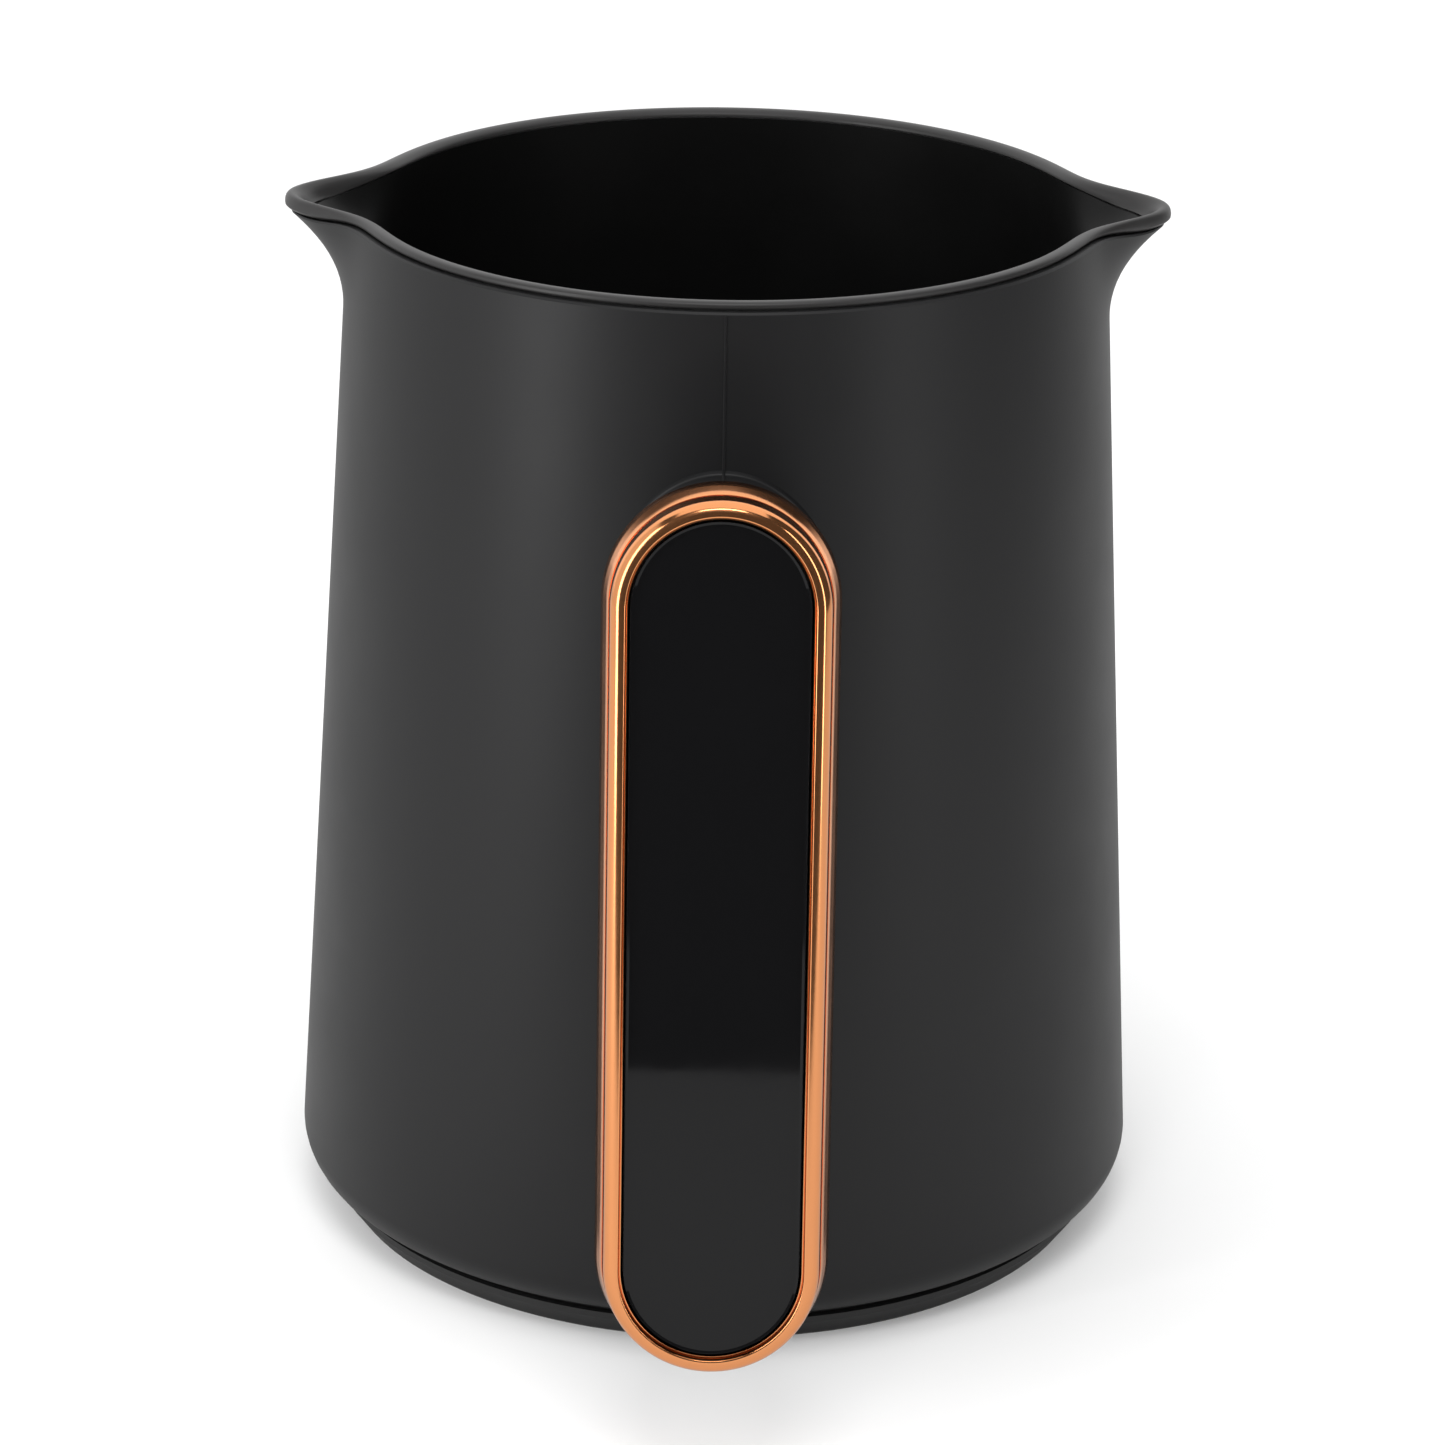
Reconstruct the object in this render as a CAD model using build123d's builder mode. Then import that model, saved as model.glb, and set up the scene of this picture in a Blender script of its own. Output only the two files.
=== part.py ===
"""Electric milk frother: a cordless jug with two pouring spouts and a hanging handle.

Frame: millimetres, +Z up, origin at the centre of the base on the table.
The spouts point along +X and -X, and the handle is on the -Y side.
"""
import os
from math import atan2, cos, degrees, radians, sin, sqrt

from build123d import *

os.makedirs("parts", exist_ok=True)

# ---------------------------------------------------------------- driving dimensions
# Jug body
WALL_SLOPE = 0.0588          # the wall's radius shrinks by this much per millimetre of height
WIDEST_RADIUS = 54.5         # outer radius just above the rounded bottom edge
WIDEST_Z = 9.0
SHELL_BOTTOM_Z = 4.3
SHELL_BOTTOM_RADIUS = 51.6
SHELL_TOP_Z = 132.5
SHELL_THICKNESS = 2.0
SHELL_MOUTH_RADIUS = 49.5    # bore that the base cover's spigot enters
SHELL_LEDGE_Z = 7.0          # top of the thicker ledge round that bore

# Pouring spouts
SPOUT_ROOT_X = 38.0          # each spout's wedge starts inside the wall
SPOUT_START_Z = 119.8
SPOUT_SECTIONS = (116.0, 120.5, 124.0, 127.5, 130.6)
SPOUT_FLARE = 0.0545         # flare of the tip per square millimetre of rise
SPOUT_HALF_ANGLE = 50.0      # between a spout's side and its centre line, degrees
NOSE_RADIUS = 4.5
SPOUT_BLEND = 12.0           # plan radius where a spout's side meets the rim ring
SPOUT_SEAM_BLEND = 5.0       # radius where a spout's side meets the round wall

# Bowl and its lip
SHEET = 0.9
BOWL_FLOOR_Z = 42.0
BOWL_CORNER = 12.0
BOWL_FOOT_RADIUS = 43.0
BOWL_MOUTH_RADIUS = 44.3
LIP_TOP_Z = 133.5
LIP_RADIUS = 46.4
LIP_TIP_X = 55.2
LIP_PAD_Z = 130.6            # underside of the thick lip at each spout
LIP_PAD_X = 47.5             # the thick lip starts this far out
LIP_ROUND = 0.4
SEAM = 0.15                  # gap between pieces that sit against each other

# Handle, in the plane of its front face
HANDLE_TOP = (-74.0, 119.6)      # y and z of the face at its upper end
HANDLE_FOOT = (-88.3, 14.8)
HANDLE_WIDTH = 27.4
TRIM_BAND = 3.25
TRIM_DEPTH = 7.2
TRIM_SIDE = 4.9                  # depth of the ring's plain side band, behind its bead
TRIM_LEAN = 0.8                  # the side band leans in by this much over its depth
TRIM_BEAD = 1.0
INLAY_GAP = 0.5
INLAY_RECESS = 0.7
INLAY_THICKNESS = 1.6
CARRIER_THICKNESS = 2.0
INLAY_CHAMFER = 0.35
GRIP_DEPTH = 14.0                # front of the trim to the back of the grip
GRIP_SETBACK = 0.6               # the grip is this much narrower than its trim
POCKET_BACK = -11.5              # bottom of the hollow inside the grip
ARM_ROOT_Y = -40.0               # the arm starts inside the wall
ARM_FALL = 0.5                   # the arm drops by this much per millimetre towards the wall
ARM_SPLIT = 20.0                 # the sloping part of the grip's outline starts this far below its middle
ARM_UNDERSIDE_Z = 93.0
ARM_CORNER = 9.0
ARM_BLEND = 3.0
HANDLE_SCREWS = (-30.0, 30.0)    # along the face, from its centre
HANDLE_SCREW_RADIUS = 1.1
HANDLE_HEAD_RADIUS = 2.6

# Base and power socket
BASE_EDGE_RADIUS = 49.1
BASE_STEP_RADIUS = 50.9
BASE_STEP_Z = 3.3
BASE_PLATE = 2.0
SPIGOT_RADIUS = 49.3
GASKET_SEAT_RADIUS = 49.4
SPIGOT_TOP_Z = 8.0
SOCKET_RADIUS = 20.5
SOCKET_DEPTH = 5.0
COLLAR_RADIUS = 26.0
CONNECTOR_RADIUS = 18.0
CONNECTOR_TOP_Z = 16.0
CONTACT_TOP_Z = 13.0
PIN_SOCKET_RADIUS = 2.9
STRIP = 0.4                      # thickness of a contact strip
CONTACT_GROOVES = {"neutral": (7.5, 10.0), "earth": (13.0, 15.2)}
CONTACT_LEGS = {"live": (90, 3.75), "neutral": (210, 9.5), "earth": (330, 14.7)}   # angle, radius
LEG_RADIUS = 0.8
CONTACT_LEG_TOP_Z = 16.2

# Fasteners and posts
BASE_SCREW_CIRCLE = 43.5
BASE_SCREW_ANGLES = (90, 210, 330)
FRAME_SCREW_CIRCLE = 36.0
FRAME_SCREW_ANGLES = (30, 150, 270)
SOCKET_SCREW_CIRCLE = 23.3
SOCKET_SCREW_ANGLES = (0, 120, 240)
SMALL_SCREW_RADIUS = 1.1
SHANK_RADIUS = 1.45
HEAD_RADIUS = 2.9
HEAD_HEIGHT = 1.8
HEAD_SEAT_Z = 2.4                # the base screws' heads bear here, from below
PILOT_RADIUS = 1.5
POST_RADIUS = 3.6
POST_TOP_Z = 16.6
BASE_POST_Z = 5.0                # foot of the shell's own screw posts
BASE_POST_TOP_Z = 17.0
RIB_Z = 8.4                      # the posts' ribs pass over the spigot
FRAME_Z = 18.2
FRAME_THICKNESS = 2.5
FRAME_REACH = 27.0
ARM_WIDTH = 9.0

# Motor and drive
MOTOR_RADIUS = 12.0
MOTOR_BOTTOM_Z = 19.6
MOTOR_TOP_Z = 32.0
MOTOR_WALL = 0.8
BUSH_RADIUS = 3.0
BUSH_LENGTH = 1.8
FIELD_INNER = 9.2
ARMATURE_RADIUS = 8.6
ARMATURE_Z = (22.6, 28.8)
SHAFT_RADIUS = 1.2
RUNNING_GAP = 0.05
DISC_RADIUS = 15.0
DISC_BOTTOM_Z = 35.0
DISC_TOP_Z = 38.8
MAGNET_CIRCLE = 9.5
MAGNET_RADIUS = 3.4
MAGNET_THICKNESS = 2.6
MAGNET_COUNT = 4

# Heater
HEATER_INNER = 22.5
HEATER_OUTER = 37.0
HEATER_THICKNESS = 3.0
HEATER_BOTTOM_Z = BOWL_FLOOR_Z - SHEET - HEATER_THICKNESS
ELEMENT_CIRCLE = 28.0
ELEMENT_RADIUS = 3.2
ELEMENT_GAP = 50                 # opening of the C-shaped element, degrees
ELEMENT_GAP_CENTRE = 210
ELEMENT_LEG_Z = 27.0
TERMINAL_RADIUS = 1.6
TERMINAL_Z = 22.0
SENSOR_CIRCLE = 19.0
SENSOR_ANGLE = 90
SENSOR_RADIUS = 2.2
SENSOR_Z = 33.0
FUSE_CIRCLE = 34.0
FUSE_ANGLE = 60
FUSE_RADIUS = 1.9
FUSE_LENGTH = 11.0

# Control board
BOARD_Z = 12.0
BOARD_THICKNESS = 1.6
BOARD_RADII = (27.5, 38.5)
BOARD_ANGLES = (45, 135)
BOARD_POST_ANGLES = (52, 126)
LEAD_RADIUS = 0.7
LEAD_BEND = 0.9

# Whisk
PIN_RADIUS = 2.0
PIN_HEIGHT = 15.0
PIN_FOOT = 1.0
PIN_FOOT_RADIUS = 6.0
SLEEVE_RADIUS = 4.0
HUB_RADIUS = 6.5
HUB_FOOT_RADIUS = 14.2
HUB_FOOT_HEIGHT = 4.0
WHISK_MAGNET_RADIUS = 2.6
WHISK_MAGNET_THICKNESS = 2.4
COIL_RADIUS = 2.5
FLOOR_GAP = 0.5


# ---------------------------------------------------------------- shared shapes
def write(piece, name):
    """Label a finished piece and write it as its own STEP file."""
    piece.part.label = name
    export_step(piece.part, f"parts/{name}.step")


def turned(*corners, mode=Mode.ADD):
    """Solid of revolution about Z from (radius, z) corners."""
    with BuildSketch(Plane.XZ) as half:
        with BuildLine():
            Polyline(*corners, close=True)
        make_face()
    revolve(half.sketch, axis=Axis.Z, mode=mode)


def rod(radius, bottom, top, mode=Mode.ADD):
    """Upright cylinder between two heights, at the current locations."""
    with Locations((0, 0, bottom)):
        Cylinder(radius, top - bottom, align=(Align.CENTER, Align.CENTER, Align.MIN), mode=mode)


def ring(inner, outer, bottom, top, mode=Mode.ADD):
    """Round band about Z between two radii and two heights."""
    turned((inner, bottom), (outer, bottom), (outer, top), (inner, top), mode=mode)


def at_angles(radius, angles):
    """Locations on a circle about Z, turned to face outward, at angles in degrees."""
    return Locations(*[Location(on_circle(radius, angle), (0, 0, angle)) for angle in angles])


def on_circle(radius, angle, z=0.0):
    """Point at a radius and an angle in degrees round the Z axis."""
    return (radius * cos(radians(angle)), radius * sin(radians(angle)), z)


# ---------------------------------------------------------------- jug profiles
def wall_radius(z):
    """Outer radius of the jug wall at height z, away from the spouts."""
    return WIDEST_RADIUS - (z - WIDEST_Z) * WALL_SLOPE


def tip_x(z):
    """Reach of a spout's tip at height z."""
    rise = max(0.0, z - SPOUT_START_Z)
    return wall_radius(z) - 0.6 + SPOUT_FLARE * rise ** 2 + 0.6 * min(1.0, rise / 4)


def spout_outline(tip, nose):
    """Plan of one spout: a wedge with a rounded nose, pointing along +X."""
    half = radians(SPOUT_HALF_ANGLE)
    apex = tip + nose * (1 / sin(half) - 1)
    side = (apex - SPOUT_ROOT_X) * sin(half) / cos(half)
    with BuildLine() as edge:
        FilletPolyline((SPOUT_ROOT_X, -side), (apex, 0), (SPOUT_ROOT_X, side), radius=nose)
        Line((SPOUT_ROOT_X, side), (SPOUT_ROOT_X, -side))
    return edge.line


def spout_solids(inset, top, mode=Mode.ADD):
    """Both spouts as solids, moved inward by inset, up to a given height."""
    heights = [z for z in SPOUT_SECTIONS if z < top] + [top]
    faces = []
    for z in heights:
        with BuildSketch(Plane.XY.offset(z)) as plan:
            make_face(spout_outline(tip_x(z) - inset, NOSE_RADIUS - inset / 2))
        faces.append(plan.sketch.face())
    beak = Solid.make_loft([face.outer_wire() for face in faces])
    add(beak, mode=mode)
    add(beak.rotate(Axis.Z, 180), mode=mode)


def rim_plan(radius, tip, nose):
    """Plan of the rim: a circle with both spouts, blended by a large radius."""
    with BuildSketch() as plan:
        Circle(radius)
        for turn in (0, 180):
            make_face(spout_outline(tip, nose).rotate(Axis.Z, turn))
        corners = [v for v in plan.vertices() if abs(v.Y) > nose and v.X ** 2 + v.Y ** 2 > radius ** 2 - 1]
        fillet(corners, SPOUT_BLEND)
    return plan.sketch


# ---------------------------------------------------------------- handle planes
face_run = HANDLE_TOP[0] - HANDLE_FOOT[0]
face_drop = HANDLE_TOP[1] - HANDLE_FOOT[1]
HANDLE_LENGTH = sqrt(face_run ** 2 + face_drop ** 2)
FACE_NORMAL = (0, -face_drop / HANDLE_LENGTH, face_run / HANDLE_LENGTH)
FACE_CENTRE = (0, (HANDLE_TOP[0] + HANDLE_FOOT[0]) / 2, (HANDLE_TOP[1] + HANDLE_FOOT[1]) / 2)
handle_face = Plane(origin=FACE_CENTRE, x_dir=(1, 0, 0), z_dir=FACE_NORMAL)

CARRIER_FRONT = -INLAY_RECESS - INLAY_THICKNESS
CARRIER_BACK = CARRIER_FRONT - CARRIER_THICKNESS
SCREW_SEAT = CARRIER_BACK + 0.9


def face_slab(inset, back, front, mode=Mode.ADD):
    """Stadium-shaped slab parallel to the handle's face, inset from its outline."""
    with BuildSketch(handle_face.offset(back)) as outline:
        SlotOverall(HANDLE_LENGTH - 2 * inset, HANDLE_WIDTH - 2 * inset, rotation=90)
    extrude(outline.sketch, amount=front - back, mode=mode)


def face_rod(radius, along, back, front, mode=Mode.ADD):
    """Cylinder square to the handle's face, at a distance along it from its centre."""
    with BuildSketch(handle_face.offset(back)) as outline:
        with Locations((0, along)):
            Circle(radius)
    extrude(outline.sketch, amount=front - back, mode=mode)


def beside_face(along, out):
    """(y, z) of a point at a distance along the face from its centre and out of it."""
    return (
        FACE_CENTRE[1] + FACE_NORMAL[2] * along + FACE_NORMAL[1] * out,
        FACE_CENTRE[2] - FACE_NORMAL[1] * along + FACE_NORMAL[2] * out,
    )


def edges_at_depth(piece_edges, depth):
    """Edges whose centre lies at a depth from the handle's face."""
    return [e for e in piece_edges if abs(handle_face.to_local_coords(e.center()).Z - depth) < 0.01]


# ---------------------------------------------------------------- outer shell with its handle
half_length = HANDLE_LENGTH / 2 + 5
grip_back = beside_face(0, -GRIP_DEPTH)
arm_corner_y = grip_back[0] - (ARM_UNDERSIDE_Z - grip_back[1]) * FACE_NORMAL[2] / FACE_NORMAL[1]

# The sides follow the ring's outline: square to the face low down, sloping down to the wall higher up.
side_length = HANDLE_LENGTH / 2 - GRIP_SETBACK + ARM_SPLIT
with BuildPart() as handle_sides:
    for end, direction in ((-1, (0, -FACE_NORMAL[1], -FACE_NORMAL[2])), (1, (0, 1, -ARM_FALL))):
        with BuildSketch(handle_face.offset(-TRIM_DEPTH)) as outline:
            with Locations((0, end * (side_length / 2 - ARM_SPLIT))):
                SlotOverall(side_length, HANDLE_WIDTH - 2 * GRIP_SETBACK, rotation=90)
        extrude(outline.sketch, amount=60, dir=direction)

with BuildPart() as handle_body:
    with BuildSketch(Plane.YZ):
        with BuildLine():
            FilletPolyline(
                (ARM_ROOT_Y, ARM_UNDERSIDE_Z),
                (arm_corner_y, ARM_UNDERSIDE_Z),
                beside_face(-half_length, -GRIP_DEPTH),
                radius=ARM_CORNER,
            )
            Polyline(
                beside_face(-half_length, -GRIP_DEPTH),
                beside_face(-half_length, -TRIM_DEPTH),
                beside_face(half_length, -TRIM_DEPTH),
                (ARM_ROOT_Y, beside_face(half_length, -TRIM_DEPTH)[1]),
                (ARM_ROOT_Y, ARM_UNDERSIDE_Z),
            )
        make_face()
    extrude(amount=HANDLE_WIDTH, both=True)
    add(handle_sides.part, mode=Mode.INTERSECT)


def cut_lip_seats():
    """Room at both spouts for the thick parts of the rim ring."""
    with BuildSketch(Plane.XY.offset(LIP_PAD_Z - SEAM)) as seats:
        for side in (-1, 1):
            with Locations((side * (LIP_PAD_X - SEAM + 20), 0)):
                Rectangle(40, 40)
    extrude(seats.sketch, amount=5, mode=Mode.SUBTRACT)


with BuildPart() as outer_shell:
    with BuildSketch(Plane.XZ):
        with BuildLine():
            bottom_edge = (SHELL_BOTTOM_RADIUS, SHELL_BOTTOM_Z)
            widest = (WIDEST_RADIUS, WIDEST_Z)
            TangentArc(widest, bottom_edge, tangent=(WALL_SLOPE, -1))
            Polyline(
                widest,
                (wall_radius(SHELL_TOP_Z), SHELL_TOP_Z),
                (0, SHELL_TOP_Z),
                (0, SHELL_BOTTOM_Z),
                bottom_edge,
            )
        make_face()
    revolve(axis=Axis.Z)
    spout_solids(0, SHELL_TOP_Z)
    side_seams = [
        e for e in edges()
        if abs(e.center().Y) > 7 and 118 < e.center().Z < 131 and e.geom_type != GeomType.CIRCLE
    ]
    fillet(side_seams, SPOUT_SEAM_BLEND)
    add(handle_body.part)
    arm_seams = [
        e for e in edges()
        if abs(e.center().X) < 14 and -53 < e.center().Y < -46
        and 92 < e.center().Z < 112 and e.geom_type != GeomType.LINE
    ]
    fillet(arm_seams, ARM_BLEND)
    # hollow inside
    turned(
        (0, SHELL_LEDGE_Z),
        (wall_radius(SHELL_LEDGE_Z) - SHELL_THICKNESS - 2, SHELL_LEDGE_Z),
        (wall_radius(12) - SHELL_THICKNESS, 12),
        (wall_radius(SHELL_TOP_Z + 1) - SHELL_THICKNESS, SHELL_TOP_Z + 1),
        (0, SHELL_TOP_Z + 1),
        mode=Mode.SUBTRACT,
    )
    spout_solids(SHELL_THICKNESS, SHELL_TOP_Z + 1, mode=Mode.SUBTRACT)
    rod(SHELL_MOUTH_RADIUS, SHELL_BOTTOM_Z - 1, SHELL_LEDGE_Z + 1, mode=Mode.SUBTRACT)
    cut_lip_seats()
    # hollow of the grip, open towards the trim, with its two screw bosses
    face_slab(TRIM_BAND + 1.2, POCKET_BACK, 0, mode=Mode.SUBTRACT)
    for along in HANDLE_SCREWS:
        face_rod(3.4, along, POCKET_BACK - 1, CARRIER_BACK)
        face_rod(HANDLE_SCREW_RADIUS, along, POCKET_BACK, 0, mode=Mode.SUBTRACT)
    # screw posts for the base cover, each with a rib to the wall
    with at_angles(BASE_SCREW_CIRCLE, BASE_SCREW_ANGLES):
        rod(POST_RADIUS, BASE_POST_Z, BASE_POST_TOP_Z)
        with Locations((6, 0, (RIB_Z + BASE_POST_TOP_Z) / 2)):
            Box(8.5, 3, BASE_POST_TOP_Z - RIB_Z)
        rod(PILOT_RADIUS, BASE_POST_Z - 1, BASE_POST_TOP_Z - 2, mode=Mode.SUBTRACT)

write(outer_shell, "outer_shell")

with BuildPart() as handle_trim:
    with BuildSketch(handle_face.offset(-TRIM_DEPTH)) as outline:
        SlotOverall(HANDLE_LENGTH, HANDLE_WIDTH, rotation=90)
    extrude(outline.sketch, amount=TRIM_SIDE, taper=degrees(atan2(TRIM_LEAN, TRIM_SIDE)))
    face_slab(TRIM_LEAN, TRIM_SIDE - TRIM_DEPTH, 0)
    face_slab(TRIM_BAND, -TRIM_DEPTH - 1, 1, mode=Mode.SUBTRACT)
    fillet(edges_at_depth(edges(), 0), TRIM_BEAD)

write(handle_trim, "handle_trim")

with BuildPart() as handle_inlay:
    face_slab(TRIM_BAND + INLAY_GAP, CARRIER_FRONT, -INLAY_RECESS)
    chamfer(edges_at_depth(edges(), -INLAY_RECESS), INLAY_CHAMFER)

write(handle_inlay, "handle_inlay")

with BuildPart() as handle_carrier:
    face_slab(TRIM_BAND + SEAM, CARRIER_BACK, CARRIER_FRONT)
    for along in HANDLE_SCREWS:
        face_rod(HANDLE_SCREW_RADIUS + 0.3, along, CARRIER_BACK - 1, CARRIER_FRONT + 1, mode=Mode.SUBTRACT)
        face_rod(HANDLE_HEAD_RADIUS + 0.2, along, SCREW_SEAT, CARRIER_FRONT + 1, mode=Mode.SUBTRACT)

write(handle_carrier, "handle_carrier")

with BuildPart() as handle_screws:
    for along in HANDLE_SCREWS:
        face_rod(HANDLE_HEAD_RADIUS, along, SCREW_SEAT, CARRIER_FRONT - 0.1)
        face_rod(HANDLE_SCREW_RADIUS - 0.05, along, POCKET_BACK + 0.5, SCREW_SEAT)

write(handle_screws, "handle_screws")


# ---------------------------------------------------------------- bowl and rim
def bowl_shape(shift, top, mode=Mode.ADD):
    """Solid that fills the bowl, moved outward by shift, with its two spouts."""
    foot = BOWL_FLOOR_Z + BOWL_CORNER
    corner_x = BOWL_FOOT_RADIUS - BOWL_CORNER
    with BuildSketch(Plane.XZ) as half:
        with BuildLine():
            CenterArc((corner_x, foot), BOWL_CORNER + shift, -90, 90)
            Polyline(
                (BOWL_FOOT_RADIUS + shift, foot),
                (BOWL_MOUTH_RADIUS + shift, SPOUT_START_Z),
                (BOWL_MOUTH_RADIUS + shift, top),
                (0, top),
                (0, BOWL_FLOOR_Z - shift),
                (corner_x, BOWL_FLOOR_Z - shift),
            )
        make_face()
    revolve(half.sketch, axis=Axis.Z, mode=mode)
    spout_solids(SHELL_THICKNESS + SEAM + SHEET - shift, top, mode=mode)


with BuildPart() as inner_bowl:
    bowl_shape(SHEET, SHELL_TOP_Z)
    bowl_shape(0, LIP_TOP_Z + 1, mode=Mode.SUBTRACT)
    cut_lip_seats()

write(inner_bowl, "inner_bowl")

with BuildPart() as rim_ring:
    rim_outline = rim_plan(LIP_RADIUS, LIP_TIP_X, NOSE_RADIUS)
    with BuildSketch(Plane.XY.offset(LIP_PAD_Z)):
        add(rim_outline)
        with BuildSketch(mode=Mode.INTERSECT):
            for side in (-1, 1):
                with Locations((side * (LIP_PAD_X + 20), 0)):
                    Rectangle(40, 40)
    extrude(amount=LIP_TOP_Z - LIP_PAD_Z)
    with BuildSketch(Plane.XY.offset(SHELL_TOP_Z + SEAM)):
        add(rim_outline)
    extrude(amount=LIP_TOP_Z - SHELL_TOP_Z - SEAM)
    fillet(edges().group_by(Axis.Z)[-1], LIP_ROUND)
    bowl_shape(0, LIP_TOP_Z + 1, mode=Mode.SUBTRACT)

write(rim_ring, "rim_ring")


# ---------------------------------------------------------------- base and power socket
with BuildPart() as base_cover:
    turned(
        (0, 0),
        (BASE_EDGE_RADIUS, 0),
        (BASE_STEP_RADIUS, BASE_STEP_Z - 0.8),
        (BASE_STEP_RADIUS, BASE_STEP_Z),
        (GASKET_SEAT_RADIUS, BASE_STEP_Z), (GASKET_SEAT_RADIUS, SHELL_BOTTOM_Z + 0.2),
        (SPIGOT_RADIUS, SHELL_BOTTOM_Z + 0.2), (SPIGOT_RADIUS, SPIGOT_TOP_Z),
        (SPIGOT_RADIUS - 2, SPIGOT_TOP_Z), (SPIGOT_RADIUS - 2, BASE_PLATE), (0, BASE_PLATE),
    )
    ring(SOCKET_RADIUS, COLLAR_RADIUS, 0, SOCKET_DEPTH)
    with at_angles(FRAME_SCREW_CIRCLE, FRAME_SCREW_ANGLES):
        rod(POST_RADIUS, 1, POST_TOP_Z)
        rod(PILOT_RADIUS, BASE_PLATE, POST_TOP_Z + 1, mode=Mode.SUBTRACT)
    with at_angles(BASE_SCREW_CIRCLE, BASE_SCREW_ANGLES):
        rod(POST_RADIUS + 1.2, 1, BASE_POST_Z - SEAM)
        rod(HEAD_RADIUS + 0.3, -1, HEAD_SEAT_Z, mode=Mode.SUBTRACT)
        rod(SHANK_RADIUS + 0.3, 0, BASE_POST_Z + 1, mode=Mode.SUBTRACT)
    with at_angles((BOARD_RADII[0] + BOARD_RADII[1]) / 2, BOARD_POST_ANGLES):
        rod(2.2, 1, BOARD_Z)
    rod(SOCKET_RADIUS, -1, SOCKET_DEPTH + 1, mode=Mode.SUBTRACT)
    with at_angles(SOCKET_SCREW_CIRCLE, SOCKET_SCREW_ANGLES):
        rod(SMALL_SCREW_RADIUS, 1.2, SOCKET_DEPTH + 1, mode=Mode.SUBTRACT)

write(base_cover, "base_cover")

with BuildPart() as base_gasket:
    ring(GASKET_SEAT_RADIUS + 0.05, BASE_STEP_RADIUS - 0.9, BASE_STEP_Z + 0.1, SHELL_BOTTOM_Z - 0.1)

write(base_gasket, "base_gasket")

with BuildPart() as base_screws:
    with at_angles(BASE_SCREW_CIRCLE, BASE_SCREW_ANGLES):
        rod(HEAD_RADIUS, HEAD_SEAT_Z - HEAD_HEIGHT, HEAD_SEAT_Z)
        rod(SHANK_RADIUS, HEAD_SEAT_Z, BASE_POST_TOP_Z - 4)

write(base_screws, "base_screws")

with BuildPart() as connector_housing:
    ring(0, COLLAR_RADIUS - 0.4, SOCKET_DEPTH + 0.05, SOCKET_DEPTH + 2)
    rod(CONNECTOR_RADIUS, SOCKET_DEPTH + 0.05, CONNECTOR_TOP_Z)
    rod(PIN_SOCKET_RADIUS + STRIP + SEAM, SOCKET_DEPTH - 1, CONTACT_TOP_Z, mode=Mode.SUBTRACT)
    for inner, outer in CONTACT_GROOVES.values():
        ring(inner, outer, SOCKET_DEPTH - 1, CONTACT_TOP_Z, mode=Mode.SUBTRACT)
    for angle, radius in CONTACT_LEGS.values():
        with at_angles(radius, (angle,)):
            rod(LEG_RADIUS + 0.1, CONTACT_TOP_Z - 1.5, CONNECTOR_TOP_Z + 1, mode=Mode.SUBTRACT)
    with at_angles(SOCKET_SCREW_CIRCLE, SOCKET_SCREW_ANGLES):
        rod(SMALL_SCREW_RADIUS + 0.2, SOCKET_DEPTH - 1, SOCKET_DEPTH + 3, mode=Mode.SUBTRACT)

write(connector_housing, "connector_housing")

with BuildPart() as connector_screws:
    with at_angles(SOCKET_SCREW_CIRCLE, SOCKET_SCREW_ANGLES):
        rod(2.0, SOCKET_DEPTH + 2.02, SOCKET_DEPTH + 3.4)
        rod(SMALL_SCREW_RADIUS - 0.05, 1.6, SOCKET_DEPTH + 2.02)

write(connector_screws, "connector_screws")


def contact_strip(name, inner, outer):
    """Round contact strip with a leg that comes up through the housing's roof."""
    angle, radius = CONTACT_LEGS[name]
    with BuildPart() as contact:
        ring(inner, outer, SOCKET_DEPTH + 1, CONTACT_TOP_Z - 0.1)
        with at_angles(radius, (angle,)):
            rod(LEG_RADIUS, CONTACT_TOP_Z - 1.1, CONTACT_LEG_TOP_Z)
        if name != "live":
            low, high = CONTACT_GROOVES[name]
            ring(0, low, SOCKET_DEPTH, CONTACT_TOP_Z, mode=Mode.SUBTRACT)
    write(contact, f"{name}_contact")


contact_strip("live", PIN_SOCKET_RADIUS, PIN_SOCKET_RADIUS + STRIP)
for groove, (groove_inner, groove_outer) in CONTACT_GROOVES.items():
    contact_strip(groove, groove_outer - SEAM - STRIP, groove_outer - SEAM)


# ---------------------------------------------------------------- heater
with BuildPart() as heater_plate:
    ring(HEATER_INNER, HEATER_OUTER, HEATER_BOTTOM_Z, HEATER_BOTTOM_Z + HEATER_THICKNESS)

write(heater_plate, "heater_plate")

element_z = HEATER_BOTTOM_Z - ELEMENT_RADIUS
element_ends = (ELEMENT_GAP_CENTRE - ELEMENT_GAP / 2, ELEMENT_GAP_CENTRE + ELEMENT_GAP / 2)
element_start = radians(element_ends[1])

with BuildPart() as heater_element:
    start_plane = Plane(
        origin=(0, 0, 0),
        x_dir=(cos(element_start), sin(element_start), 0),
        z_dir=(sin(element_start), -cos(element_start), 0),
    )
    with BuildSketch(start_plane):
        with Locations((ELEMENT_CIRCLE, element_z)):
            Circle(ELEMENT_RADIUS)
    revolve(axis=Axis.Z, revolution_arc=360 - ELEMENT_GAP)
    for end in element_ends:
        with Locations(on_circle(ELEMENT_CIRCLE, end, element_z)):
            Sphere(ELEMENT_RADIUS)
        with at_angles(ELEMENT_CIRCLE, (end,)):
            rod(ELEMENT_RADIUS, ELEMENT_LEG_Z, element_z)

write(heater_element, "heater_element")

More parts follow.
